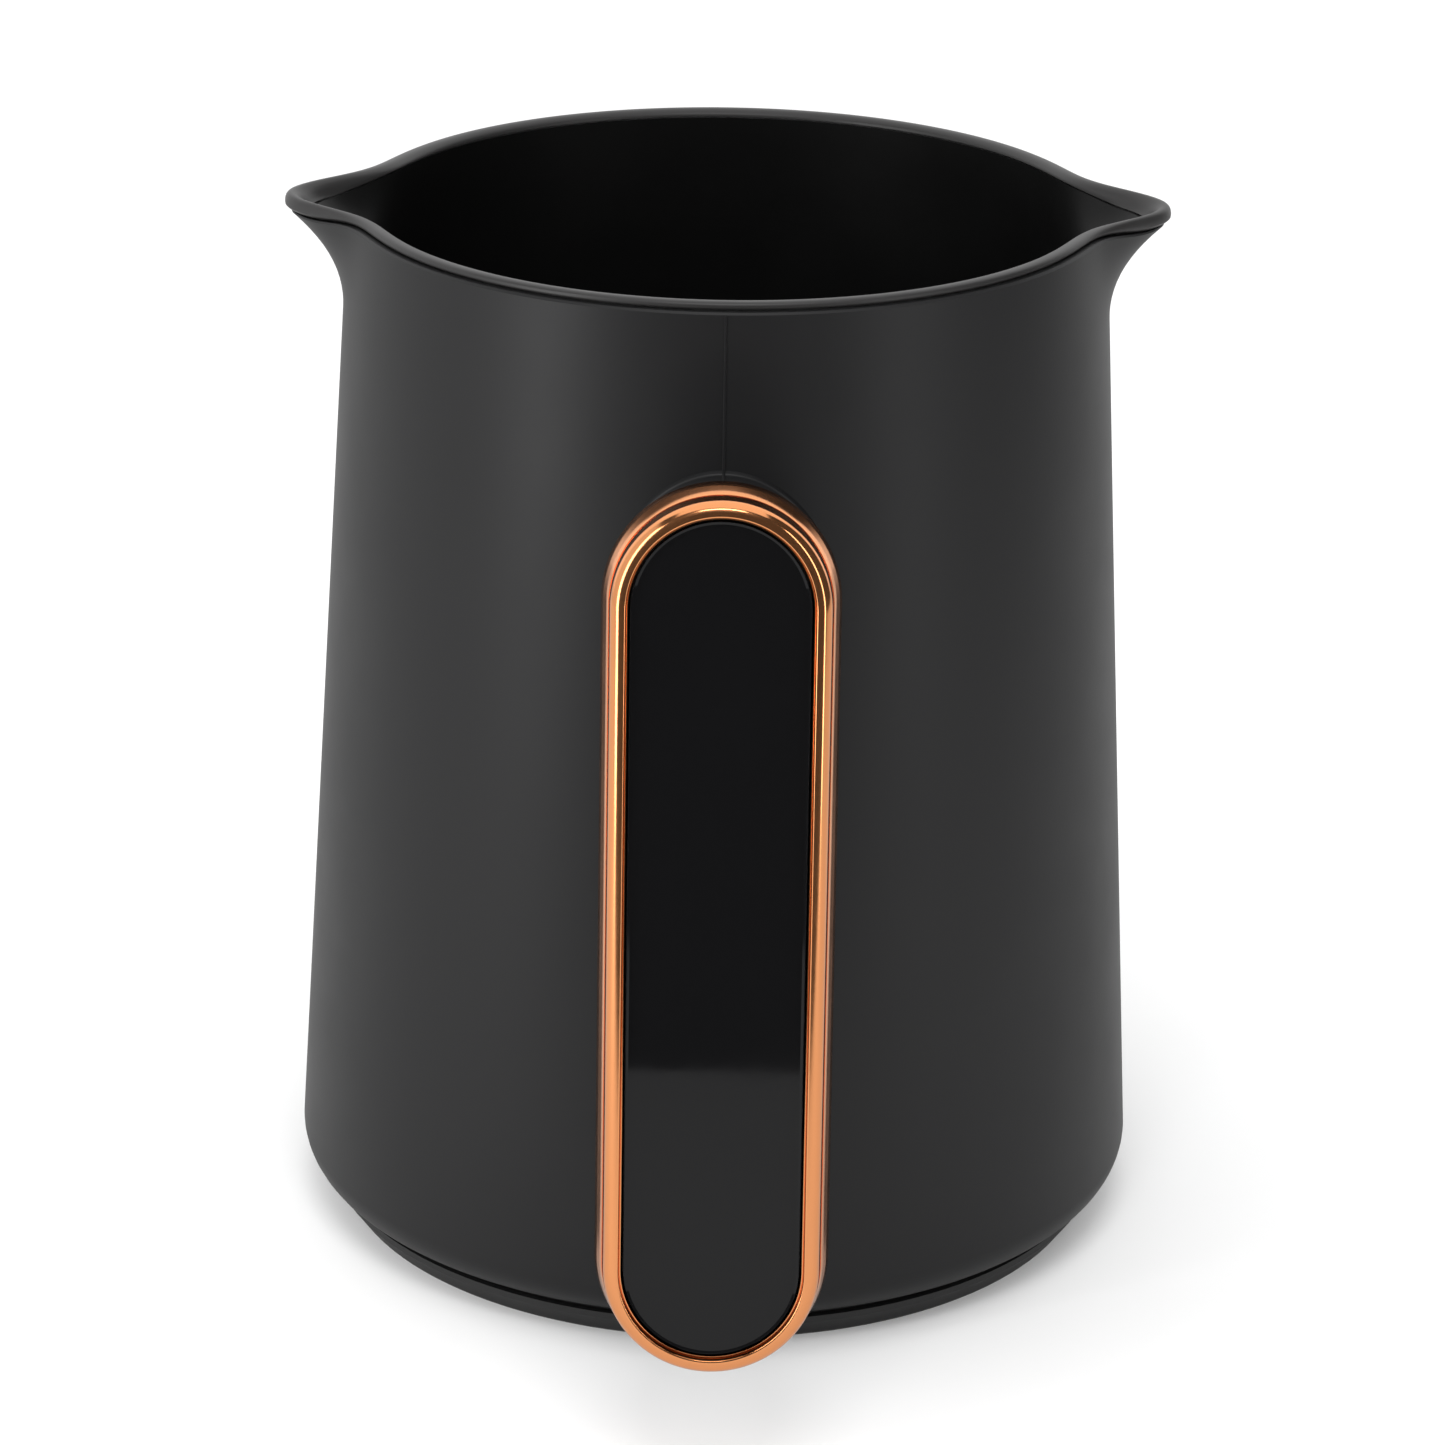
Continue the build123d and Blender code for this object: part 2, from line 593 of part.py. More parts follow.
with BuildPart() as heater_terminals:
    with at_angles(ELEMENT_CIRCLE, element_ends):
        rod(TERMINAL_RADIUS, TERMINAL_Z, ELEMENT_LEG_Z)

write(heater_terminals, "heater_terminals")

with BuildPart() as temperature_sensor:
    with at_angles(SENSOR_CIRCLE, (SENSOR_ANGLE,)):
        rod(SENSOR_RADIUS, SENSOR_Z, BOWL_FLOOR_Z - SHEET)

write(temperature_sensor, "temperature_sensor")

with BuildPart() as sensor_holder:
    with at_angles(SENSOR_CIRCLE, (SENSOR_ANGLE,)):
        rod(SENSOR_RADIUS + 1, HEATER_BOTTOM_Z - 2, HEATER_BOTTOM_Z - SEAM)
        with Locations((3.6, 0, HEATER_BOTTOM_Z - SEAM - 0.6)):
            Box(3.6, 4, 1.2)
        rod(SENSOR_RADIUS, SENSOR_Z, BOWL_FLOOR_Z, mode=Mode.SUBTRACT)

write(sensor_holder, "sensor_holder")

fuse_z = HEATER_BOTTOM_Z - FUSE_RADIUS - SEAM

with BuildPart() as thermal_fuse:
    with at_angles(FUSE_CIRCLE, (FUSE_ANGLE,)):
        with Locations((0, 0, fuse_z)):
            Cylinder(FUSE_RADIUS, FUSE_LENGTH, rotation=(90, 0, 0))
            Cylinder(0.5, FUSE_LENGTH + 6, rotation=(90, 0, 0))

write(thermal_fuse, "thermal_fuse")

with BuildPart() as fuse_clip:
    with at_angles(FUSE_CIRCLE, (FUSE_ANGLE,)):
        with Locations((0, 0, fuse_z)):
            Box(2 * FUSE_RADIUS + 1.2, 4, 2 * FUSE_RADIUS + 2 * SEAM)
            Cylinder(FUSE_RADIUS + 0.02, 10, rotation=(90, 0, 0), mode=Mode.SUBTRACT)

write(fuse_clip, "fuse_clip")


# ---------------------------------------------------------------- control board
board_circle = (BOARD_RADII[0] + BOARD_RADII[1]) / 2
board_top = BOARD_Z + BOARD_THICKNESS

with BuildPart() as control_board:
    ring(*BOARD_RADII, BOARD_Z, board_top)
    with BuildSketch(Plane.XY.offset(BOARD_Z - 1)):
        with BuildLine():
            Polyline(
                (0, 0),
                on_circle(80, BOARD_ANGLES[0])[:2],
                on_circle(80, BOARD_ANGLES[1])[:2],
                close=True,
            )
        make_face()
    extrude(amount=BOARD_THICKNESS + 2, mode=Mode.INTERSECT)

write(control_board, "control_board")


def board_block(name, angle, circle, radial, tangential, height):
    """Box-shaped component standing on the board."""
    with BuildPart() as block:
        with at_angles(circle, (angle,)):
            with Locations((0, 0, board_top + height / 2)):
                Box(radial, tangential, height)
        chamfer(block.edges().group_by(Axis.Z)[-1], 0.4)
    write(block, name)


board_block("relay", 112, board_circle, 7.5, 13, 9.5)
board_block("rectifier", 85, 35.6, 3.4, 9, 6)

with BuildPart() as capacitor:
    with at_angles(board_circle, (66,)):
        rod(3.3, board_top, board_top + 9)
    fillet(capacitor.edges().group_by(Axis.Z)[-1], 0.5)

write(capacitor, "capacitor")


# ---------------------------------------------------------------- motor and its frame
with BuildPart() as drive_frame:
    ring(MOTOR_RADIUS + SEAM, MOTOR_RADIUS + 2.3, FRAME_Z, FRAME_Z + 9)
    with at_angles(0, FRAME_SCREW_ANGLES):
        with Locations((MOTOR_RADIUS + 1 + FRAME_REACH / 2, 0, FRAME_Z + FRAME_THICKNESS / 2)):
            Box(FRAME_REACH, ARM_WIDTH, FRAME_THICKNESS)
    with at_angles(FRAME_SCREW_CIRCLE, FRAME_SCREW_ANGLES):
        rod(PILOT_RADIUS + 0.3, FRAME_Z - 1, FRAME_Z + 5, mode=Mode.SUBTRACT)

write(drive_frame, "drive_frame")

with BuildPart() as frame_dampers:
    with at_angles(FRAME_SCREW_CIRCLE, FRAME_SCREW_ANGLES):
        rod(POST_RADIUS, POST_TOP_Z, FRAME_Z)
        rod(PILOT_RADIUS + 0.1, POST_TOP_Z - 1, FRAME_Z + 1, mode=Mode.SUBTRACT)

write(frame_dampers, "frame_dampers")

with BuildPart() as frame_screws:
    frame_top = FRAME_Z + FRAME_THICKNESS
    with at_angles(FRAME_SCREW_CIRCLE, FRAME_SCREW_ANGLES):
        rod(HEAD_RADIUS, frame_top, frame_top + HEAD_HEIGHT)
        rod(SHANK_RADIUS, POST_TOP_Z - 9, frame_top)

write(frame_screws, "frame_screws")

with BuildPart() as motor_can:
    rod(MOTOR_RADIUS, MOTOR_BOTTOM_Z, MOTOR_TOP_Z)
    rod(MOTOR_RADIUS - MOTOR_WALL, MOTOR_BOTTOM_Z - 1, MOTOR_TOP_Z - MOTOR_WALL, mode=Mode.SUBTRACT)
    rod(BUSH_RADIUS, MOTOR_BOTTOM_Z, MOTOR_TOP_Z + 1, mode=Mode.SUBTRACT)

write(motor_can, "motor_can")

with BuildPart() as motor_end_cap:
    ring(BUSH_RADIUS, MOTOR_RADIUS - MOTOR_WALL - 0.05, MOTOR_BOTTOM_Z, MOTOR_BOTTOM_Z + BUSH_LENGTH)

write(motor_end_cap, "motor_end_cap")

with BuildPart() as motor_bushes:
    ring(SHAFT_RADIUS + RUNNING_GAP, BUSH_RADIUS, MOTOR_BOTTOM_Z, MOTOR_BOTTOM_Z + BUSH_LENGTH)
    ring(SHAFT_RADIUS + RUNNING_GAP, BUSH_RADIUS, MOTOR_TOP_Z - BUSH_LENGTH, MOTOR_TOP_Z)

write(motor_bushes, "motor_bushes")

with BuildPart() as motor_magnets:
    ring(FIELD_INNER, MOTOR_RADIUS - MOTOR_WALL, ARMATURE_Z[0] - 0.5, ARMATURE_Z[1] + 0.5)
    with Locations((0, 0, MOTOR_BOTTOM_Z)):
        Box(8, 30, 40, mode=Mode.SUBTRACT)

write(motor_magnets, "motor_magnets")

with BuildPart() as armature:
    ring(SHAFT_RADIUS, ARMATURE_RADIUS, *ARMATURE_Z)
    with at_angles(ARMATURE_RADIUS - 2, (30, 150, 270)):
        with Locations((0, 0, sum(ARMATURE_Z) / 2)):
            Box(5.5, 1.6, 20, mode=Mode.SUBTRACT)

write(armature, "armature")

with BuildPart() as motor_shaft:
    rod(SHAFT_RADIUS, MOTOR_BOTTOM_Z + 0.2, DISC_TOP_Z - 0.4)

write(motor_shaft, "motor_shaft")

magnet_angles = [360 * n / MAGNET_COUNT for n in range(MAGNET_COUNT)]

with BuildPart() as drive_disc:
    ring(SHAFT_RADIUS, DISC_RADIUS, DISC_BOTTOM_Z, DISC_TOP_Z)
    ring(SHAFT_RADIUS, 4, DISC_BOTTOM_Z - 1.6, DISC_BOTTOM_Z)
    with at_angles(MAGNET_CIRCLE, magnet_angles):
        rod(MAGNET_RADIUS, DISC_TOP_Z - MAGNET_THICKNESS, DISC_TOP_Z + 1, mode=Mode.SUBTRACT)

write(drive_disc, "drive_disc")

with BuildPart() as drive_magnets:
    with at_angles(MAGNET_CIRCLE, magnet_angles):
        rod(MAGNET_RADIUS, DISC_TOP_Z - MAGNET_THICKNESS, DISC_TOP_Z)

write(drive_magnets, "drive_magnets")


# ---------------------------------------------------------------- whisk
pin_top = BOWL_FLOOR_Z + PIN_HEIGHT
hub_foot = BOWL_FLOOR_Z + PIN_FOOT + FLOOR_GAP

with BuildPart() as whisk_pin:
    rod(PIN_RADIUS, BOWL_FLOOR_Z, pin_top)
    rod(PIN_FOOT_RADIUS, BOWL_FLOOR_Z, BOWL_FLOOR_Z + PIN_FOOT)
    fillet(whisk_pin.edges().group_by(Axis.Z)[-1], 0.8)

write(whisk_pin, "whisk_pin")

with BuildPart() as whisk_sleeve:
    rod(SLEEVE_RADIUS, hub_foot, pin_top + 1.6)
    rod(PIN_RADIUS + RUNNING_GAP, hub_foot - 1, pin_top + 0.3, mode=Mode.SUBTRACT)

write(whisk_sleeve, "whisk_sleeve")

with BuildPart() as whisk_hub:
    ring(SLEEVE_RADIUS + RUNNING_GAP, HUB_FOOT_RADIUS, hub_foot, hub_foot + HUB_FOOT_HEIGHT)
    turned(
        (SLEEVE_RADIUS + RUNNING_GAP, hub_foot),
        (HUB_RADIUS + 1, hub_foot),
        (HUB_RADIUS, pin_top - 4),
        (HUB_RADIUS - 1.5, pin_top),
        (SLEEVE_RADIUS + RUNNING_GAP, pin_top),
    )
    with at_angles(MAGNET_CIRCLE + 1, magnet_angles):
        rod(WHISK_MAGNET_RADIUS, hub_foot - 1, hub_foot + WHISK_MAGNET_THICKNESS, mode=Mode.SUBTRACT)

write(whisk_hub, "whisk_hub")

with BuildPart() as whisk_magnets:
    with at_angles(MAGNET_CIRCLE + 1, magnet_angles):
        rod(WHISK_MAGNET_RADIUS, hub_foot, hub_foot + WHISK_MAGNET_THICKNESS)

write(whisk_magnets, "whisk_magnets")

with BuildPart() as whisk_coil:
    with Locations((0, 0, hub_foot + COIL_RADIUS)):
        Torus(HUB_FOOT_RADIUS + COIL_RADIUS + 0.02, COIL_RADIUS)

write(whisk_coil, "whisk_coil")


# ---------------------------------------------------------------- internal leads
def lead(name, corners, bend):
    """Insulated wire along a hand-laid route, with the same bend at every corner."""
    with BuildPart() as wire:
        with BuildLine() as route:
            FilletPolyline(*corners, radius=bend)
        start = route.wires()[0]
        with BuildSketch(Plane(origin=start @ 0, z_dir=start % 0)):
            Circle(LEAD_RADIUS)
        sweep(path=start)
    write(wire, name)


def leg_top(name):
    """Top of a contact's leg."""
    angle, radius = CONTACT_LEGS[name]
    return on_circle(radius, angle, CONTACT_LEG_TOP_Z)


lead_floor = CONTACT_LEG_TOP_Z + LEAD_BEND + 0.05   # level of the leads between connector and motor
on_board = board_top + 0.02

lead("live_lead", (
    leg_top("live"), (0, CONTACT_LEGS["live"][1], lead_floor), (0, 30, lead_floor), (0, 30, on_board),
), LEAD_BEND)
lead("neutral_lead", (
    leg_top("neutral"),
    on_circle(CONTACT_LEGS["neutral"][1], 210, lead_floor),
    on_circle(19, 222, lead_floor),
    on_circle(ELEMENT_CIRCLE, element_ends[1], lead_floor),
    on_circle(ELEMENT_CIRCLE, element_ends[1], TERMINAL_Z),
), LEAD_BEND)
lead("earth_lead", (
    leg_top("earth"),
    on_circle(CONTACT_LEGS["earth"][1], 330, lead_floor),
    on_circle(34.5, 310, lead_floor),
    on_circle(34.5, 310, HEATER_BOTTOM_Z),
), LEAD_BEND)
lead("heater_lead", (
    on_circle(board_circle, 129, on_board),
    on_circle(board_circle, 129, board_top + 1.5),
    on_circle(28, 138, board_top + 1.5),
    on_circle(28, 160, board_top + 1.5),
    on_circle(ELEMENT_CIRCLE, element_ends[0], board_top + 1.5),
    on_circle(ELEMENT_CIRCLE, element_ends[0], TERMINAL_Z),
), LEAD_BEND)
lead("sensor_lead", (
    on_circle(SENSOR_CIRCLE, SENSOR_ANGLE, SENSOR_Z),
    on_circle(SENSOR_CIRCLE, SENSOR_ANGLE, 26),
    on_circle(30.5, 77, 20),
    on_circle(30.5, 77, on_board),
), 2.0)
lead("motor_lead", (
    on_circle(8, 56, MOTOR_BOTTOM_Z),
    on_circle(8, 56, lead_floor),
    on_circle(31, 54, lead_floor),
    on_circle(31, 54, on_board),
), LEAD_BEND)
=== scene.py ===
"""Looks of the electric milk frother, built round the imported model.

Lengths are written in millimetres and turned to metres where a piece is made.
Frame: +Z up, spouts along +X and -X, handle on the -Y side.
"""
from math import asin, cos, exp, hypot, pi, radians, sin

import bmesh
import bpy
from bpy.props import FloatProperty, FloatVectorProperty, IntProperty, PointerProperty
from mathutils import Matrix, Vector


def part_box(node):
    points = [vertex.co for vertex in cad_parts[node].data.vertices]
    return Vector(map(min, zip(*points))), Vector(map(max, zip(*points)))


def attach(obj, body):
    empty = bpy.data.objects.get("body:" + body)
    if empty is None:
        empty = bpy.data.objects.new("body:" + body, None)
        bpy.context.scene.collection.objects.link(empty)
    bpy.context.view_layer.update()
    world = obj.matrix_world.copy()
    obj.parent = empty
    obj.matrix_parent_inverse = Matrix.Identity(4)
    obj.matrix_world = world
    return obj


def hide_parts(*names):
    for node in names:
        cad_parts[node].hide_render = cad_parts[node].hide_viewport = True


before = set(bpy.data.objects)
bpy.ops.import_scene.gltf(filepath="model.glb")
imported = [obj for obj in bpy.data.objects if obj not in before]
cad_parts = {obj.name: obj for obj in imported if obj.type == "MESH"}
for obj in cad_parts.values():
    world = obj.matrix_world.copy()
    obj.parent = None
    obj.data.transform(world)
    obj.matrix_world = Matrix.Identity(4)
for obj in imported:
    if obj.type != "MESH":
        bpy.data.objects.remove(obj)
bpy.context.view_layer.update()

bl_info = {
    "name": "Milk Frother",
    "version": (1, 0, 0),
    "blender": (4, 5, 0),
    "location": "View3D > Sidebar > Frother",
    "description": "Builds the visible pieces, finishes and studio of a cordless milk frother",
    "category": "Object",
}

MM = 0.001
TURN = 2 * pi
AROUND = 360                 # steps of a piece turned round the jug's axis
NEAR = 1e-3                  # closeness that counts as lying in one plane, in millimetres
SAME = 1e-4                  # closeness that counts as one place, in millimetres
TINY = 1e-6                  # keeps a division by a radius off zero

# Jug wall, in millimetres
WALL_SLOPE = 0.0588          # the wall draws in by this much per millimetre of height
WIDEST_RADIUS = 54.5
WIDEST_Z = 9.0
FOOT_ROUND = 5.0             # rounding between the wall and the underside
FOOT_ROUND_START = -65       # where that rounding starts, in degrees below level
FOOT_THICK_Z = 12.0          # the wall grows thicker below this height
FOOT_THICKEN = 2.0
SHELL_BOTTOM_Z = 4.3
SHELL_MOUTH_RADIUS = 49.5    # the opening in the underside, for the base
SHELL_LEDGE_Z = 7.0
SHELL_TOP_Z = 132.5
SHELL_THICKNESS = 2.0
EDGE_BREAK = 0.25            # rounding of the wall's top edge
TOP_EDGE_WIDTH = 1.8

# Spouts: a bell curve in plan that flares with the square of the height
FLARE_START_Z = 119.8
FLARE_RATE = 0.0545
SPOUT_SPREAD = 0.125         # width of the bell curve, radians
PAD_DROP = 1.05              # the lip reaches this much lower at a spout
PAD_FROM_X = 44.0
PAD_FULL_X = 53.0

# Bowl and lip
SHEET = 0.9
BOWL_FLOOR_Z = 42.0
BOWL_CORNER = 12.0
BOWL_FOOT_RADIUS = 43.0
BOWL_MOUTH_RADIUS = 44.3
BOWL_OPENING = 1.3           # the bowl's side is this much narrower at its foot
FLOOR_RINGS = (0.0, 6.0, 14.0, 22.0)
LIP_TOP_Z = 133.5
LIP_OUTER_RADIUS = 46.4
LIP_INNER_RADIUS = 45.1      # points of the lip inside this follow the bowl
LIP_CREST_RADIUS = 44.95
LIP_MIDDLE_RADIUS = 45.0
LIP_REACH = 8.8              # how far a spout's lip stands out past the round rim
LIP_DEEPER = 1.25            # extra share of the lip's height at a spout
LIP_THICKER = 0.8            # extra share of the lip's inner width at a spout
LIP_FOOT_Z = 132.95          # the lip's foot tucks in below this height
LIP_FOOT_HEIGHT = 0.3
LIP_TUCK = 0.55

# Handle, in the plane of its front face: across X, along the face, out of it
FACE_CENTRE = Vector((0.0, -81.15, 67.2))
FACE_NORMAL = Vector((0.0, -0.99082, 0.13520))
FACE_ALONG = Vector((0.0, 0.13520, 0.99082))
HALF_WIDTH = 13.7
HALF_STRAIGHT = 39.18
TRIM_BAND = 3.25
TRIM_DEPTH = 7.2
INLAY_INSET = 3.5
INLAY_FRONT = -0.7
INLAY_BACK = -2.3
INLAY_CHAMFER = 0.17         # height of the edge between the panel's side and its face
INLAY_FIRST_RISE = 0.07
BEAD_INSET = 2.72            # the ring's bead is a quarter ellipse that ends this far in
BEAD_WIDTH = 1.62
BEAD_HEIGHT = 1.85
GRIP_INSET = 0.6
GRIP_BACK = -14.0
ARM_UNDERSIDE_Z = 93.0
ARM_CORNER = 9.0
ARM_LEAN = 0.3403            # the arm drops along the face by this much per millimetre of depth
ARM_TAPER = 0.009            # the arm narrows by this share per millimetre of depth
ARM_STEPS = 12               # rings round the hollow corner under the arm
ARM_TOP_RUN = 4.2            # how far the arm's top runs back while its underside turns the corner
ARM_END_RUN = 1.0            # how far its underside then runs on to the last ring
ARM_END_TRIES = 6            # rounds that bring the last ring upright
ARM_END_Y = -54.2            # the arm's blend into the wall starts past here
ROOT_CUTS = 17               # points across the arm's lower edge
FLANK_CUTS = 4
SHARP_ANGLE = 30             # edges of the grip sharper than this are rounded, in degrees
BLEND_TRIES = 60             # rounds that bring a rolling ball to touch the wall
BLEND_CLOSING = 0.9          # share of the gap that each round closes
BLEND_DEPTH = 1.2            # how far the blend's edge goes into the wall

# Parting line
LINE_DEPTHS = (-7.4, -11, -16)     # its points over the arm, out of the face
LINE_SINK = 0.03                   # its edges lie this far under the surface
LINE_GAP = 0.5
LINE_TOP_GAP = 0.3

WIRE_POINTS = 12             # points in each turn of the whisk's wire

# Camera: lens and sensor in millimetres, angles in degrees, place in metres
SENSOR_WIDTH = 36.0
LENS = 123.70
CAMERA_TIP = 21.170
CAMERA_ROLL = 0.9104
CAMERA_PLACE = (0.00033, -0.600, 0.2958)
RIGHT_SHARE = 0.4            # share of the left strip's power that the right one gets


# ---------------------------------------------------------------- colour and settings
def linear(code):
    """RGBA in linear light from an sRGB hex code."""
    parts = [int(code[at:at + 2], 16) / 255 for at in (1, 3, 5)]
    light = tuple(p / 12.92 if p <= 0.04045 else ((p + 0.055) / 1.055) ** 2.4 for p in parts)
    return light + (1.0,)


def colour_setting(name, description, code):
    """A colour picker whose default is an sRGB hex code."""
    return FloatVectorProperty(
        name=name, description=description, subtype="COLOR", size=4, min=0.0, max=1.0,
        default=linear(code),
    )


class FrotherSizes(bpy.types.PropertyGroup):
    """Sizes of the fine details that the looks add."""

    blend_radius: FloatProperty(
        name="Arm blend", description="Radius between the handle's arm and the wall",
        default=3.2 * MM, min=0.5 * MM, unit="LENGTH", subtype="DISTANCE",
    )
    grip_round: FloatProperty(
        name="Grip round", description="Rounding of the grip's back edges",
        default=2.2 * MM, min=0.2 * MM, unit="LENGTH", subtype="DISTANCE",
    )
    line_width: FloatProperty(
        name="Parting line width", description="Width of the fine mould line above the handle",
        default=0.4 * MM, min=0.05 * MM, unit="LENGTH", subtype="DISTANCE",
    )
    line_height: FloatProperty(
        name="Parting line height", description="How far the mould line stands off the wall",
        default=0.15 * MM, min=0.01 * MM, unit="LENGTH", subtype="DISTANCE",
    )
    coil_wire: FloatProperty(
        name="Whisk wire", description="Thickness of the whisk spring's wire",
        default=0.8 * MM, min=0.2 * MM, unit="LENGTH", subtype="DISTANCE",
    )
    coil_turns: IntProperty(
        name="Whisk turns", description="Turns of wire round the whisk's ring",
        default=58, min=8, max=120,
    )


class FrotherColours(bpy.types.PropertyGroup):
    """Colours of the visible finishes."""

    shell: colour_setting("Shell", "Moulded black of the jug and handle", "#151516")
    rim: colour_setting("Rim", "Satin grey of the lip", "#222121")
    base: colour_setting("Base", "Matt black of the base", "#1D1D1D")
    copper: colour_setting("Copper", "Plated trim of the handle", "#F2A26B")
    inlay: colour_setting("Inlay", "Gloss panel in the handle", "#0B0B0C")
    bowl: colour_setting("Bowl", "Non-stick coating inside", "#090909")
    floor: colour_setting("Floor", "Studio floor", "#F7F7F7")


class FrotherStudio(bpy.types.PropertyGroup):
    """Light levels of the studio."""

    sky: FloatProperty(
        name="Surround", description="Brightness of the white surround",
        default=1.12, min=0.0, max=5.0,
    )
    key: FloatProperty(
        name="Overhead", description="Power of the overhead softbox",
        default=1.2, min=0.0, unit="POWER",
    )
    strips: FloatProperty(
        name="Side strips", description="Power of the left strip; the right one gets two fifths of it",
        default=1.0, min=0.0, unit="POWER",
    )
    fill: FloatProperty(
        name="Left box", description="Power of the broad softbox on the left",
        default=0.8, min=0.0, unit="POWER",
    )


# ---------------------------------------------------------------- materials
def add_node(material, kind, settings=None, links=None):
    """One shader node. Settings go by property, input name or number, and links as input: output."""
    made = material.node_tree.nodes.new(kind)
    for key, value in (settings or {}).items():
        if isinstance(key, str) and key in made.bl_rna.properties:
            setattr(made, key, value)
        else:
            made.inputs[key].default_value = value
    for key, socket in (links or {}).items():
        material.node_tree.links.new(socket, made.inputs[key])
    return made


def finish(name, colour, roughness, grain, depth, patch=25.0, tint=0.12, spread=0.05, sockets=None):
    """A surface with fine grain, and slow drifts of colour and gloss.

    grain, depth and patch are in millimetres.
    """
    material = bpy.data.materials.new(name)
    material.use_nodes = True
    tree = material.node_tree
    shader = tree.nodes["Principled BSDF"]
    place = add_node(material, "ShaderNodeTexCoord")
    fine = add_node(
        material, "ShaderNodeTexNoise",
        {"Scale": 1 / (grain * MM), "Detail": 2.0, "Roughness": 0.55}, {"Vector": place.outputs["Object"]},
    )
    slow = add_node(
        material, "ShaderNodeTexNoise",
        {"Scale": 1 / (patch * MM), "Detail": 4.0, "Roughness": 0.6}, {"Vector": place.outputs["Object"]},
    )
    dark = tuple(part * (1 - tint) for part in colour[:3]) + (1.0,)
    light = tuple(min(1.0, part * (1 + tint)) for part in colour[:3]) + (1.0,)
    shade = add_node(
        material, "ShaderNodeMix", {"data_type": "RGBA", 6: dark, 7: light}, {0: slow.outputs["Fac"]},
    )
    gloss = add_node(
        material, "ShaderNodeMapRange",
        {"From Min": 0.3, "From Max": 0.7,
         "To Min": max(0.0, roughness - spread), "To Max": roughness + spread},
        {"Value": slow.outputs["Fac"]},
    )
    relief = add_node(
        material, "ShaderNodeBump",
        {"Strength": 1.0, "Distance": depth * MM}, {"Height": fine.outputs["Fac"]},
    )
    tree.links.new(shade.outputs[2], shader.inputs["Base Color"])
    tree.links.new(gloss.outputs["Result"], shader.inputs["Roughness"])
    tree.links.new(relief.outputs["Normal"], shader.inputs["Normal"])
    for key, value in (sockets or {}).items():
        shader.inputs[key].default_value = value
    return material


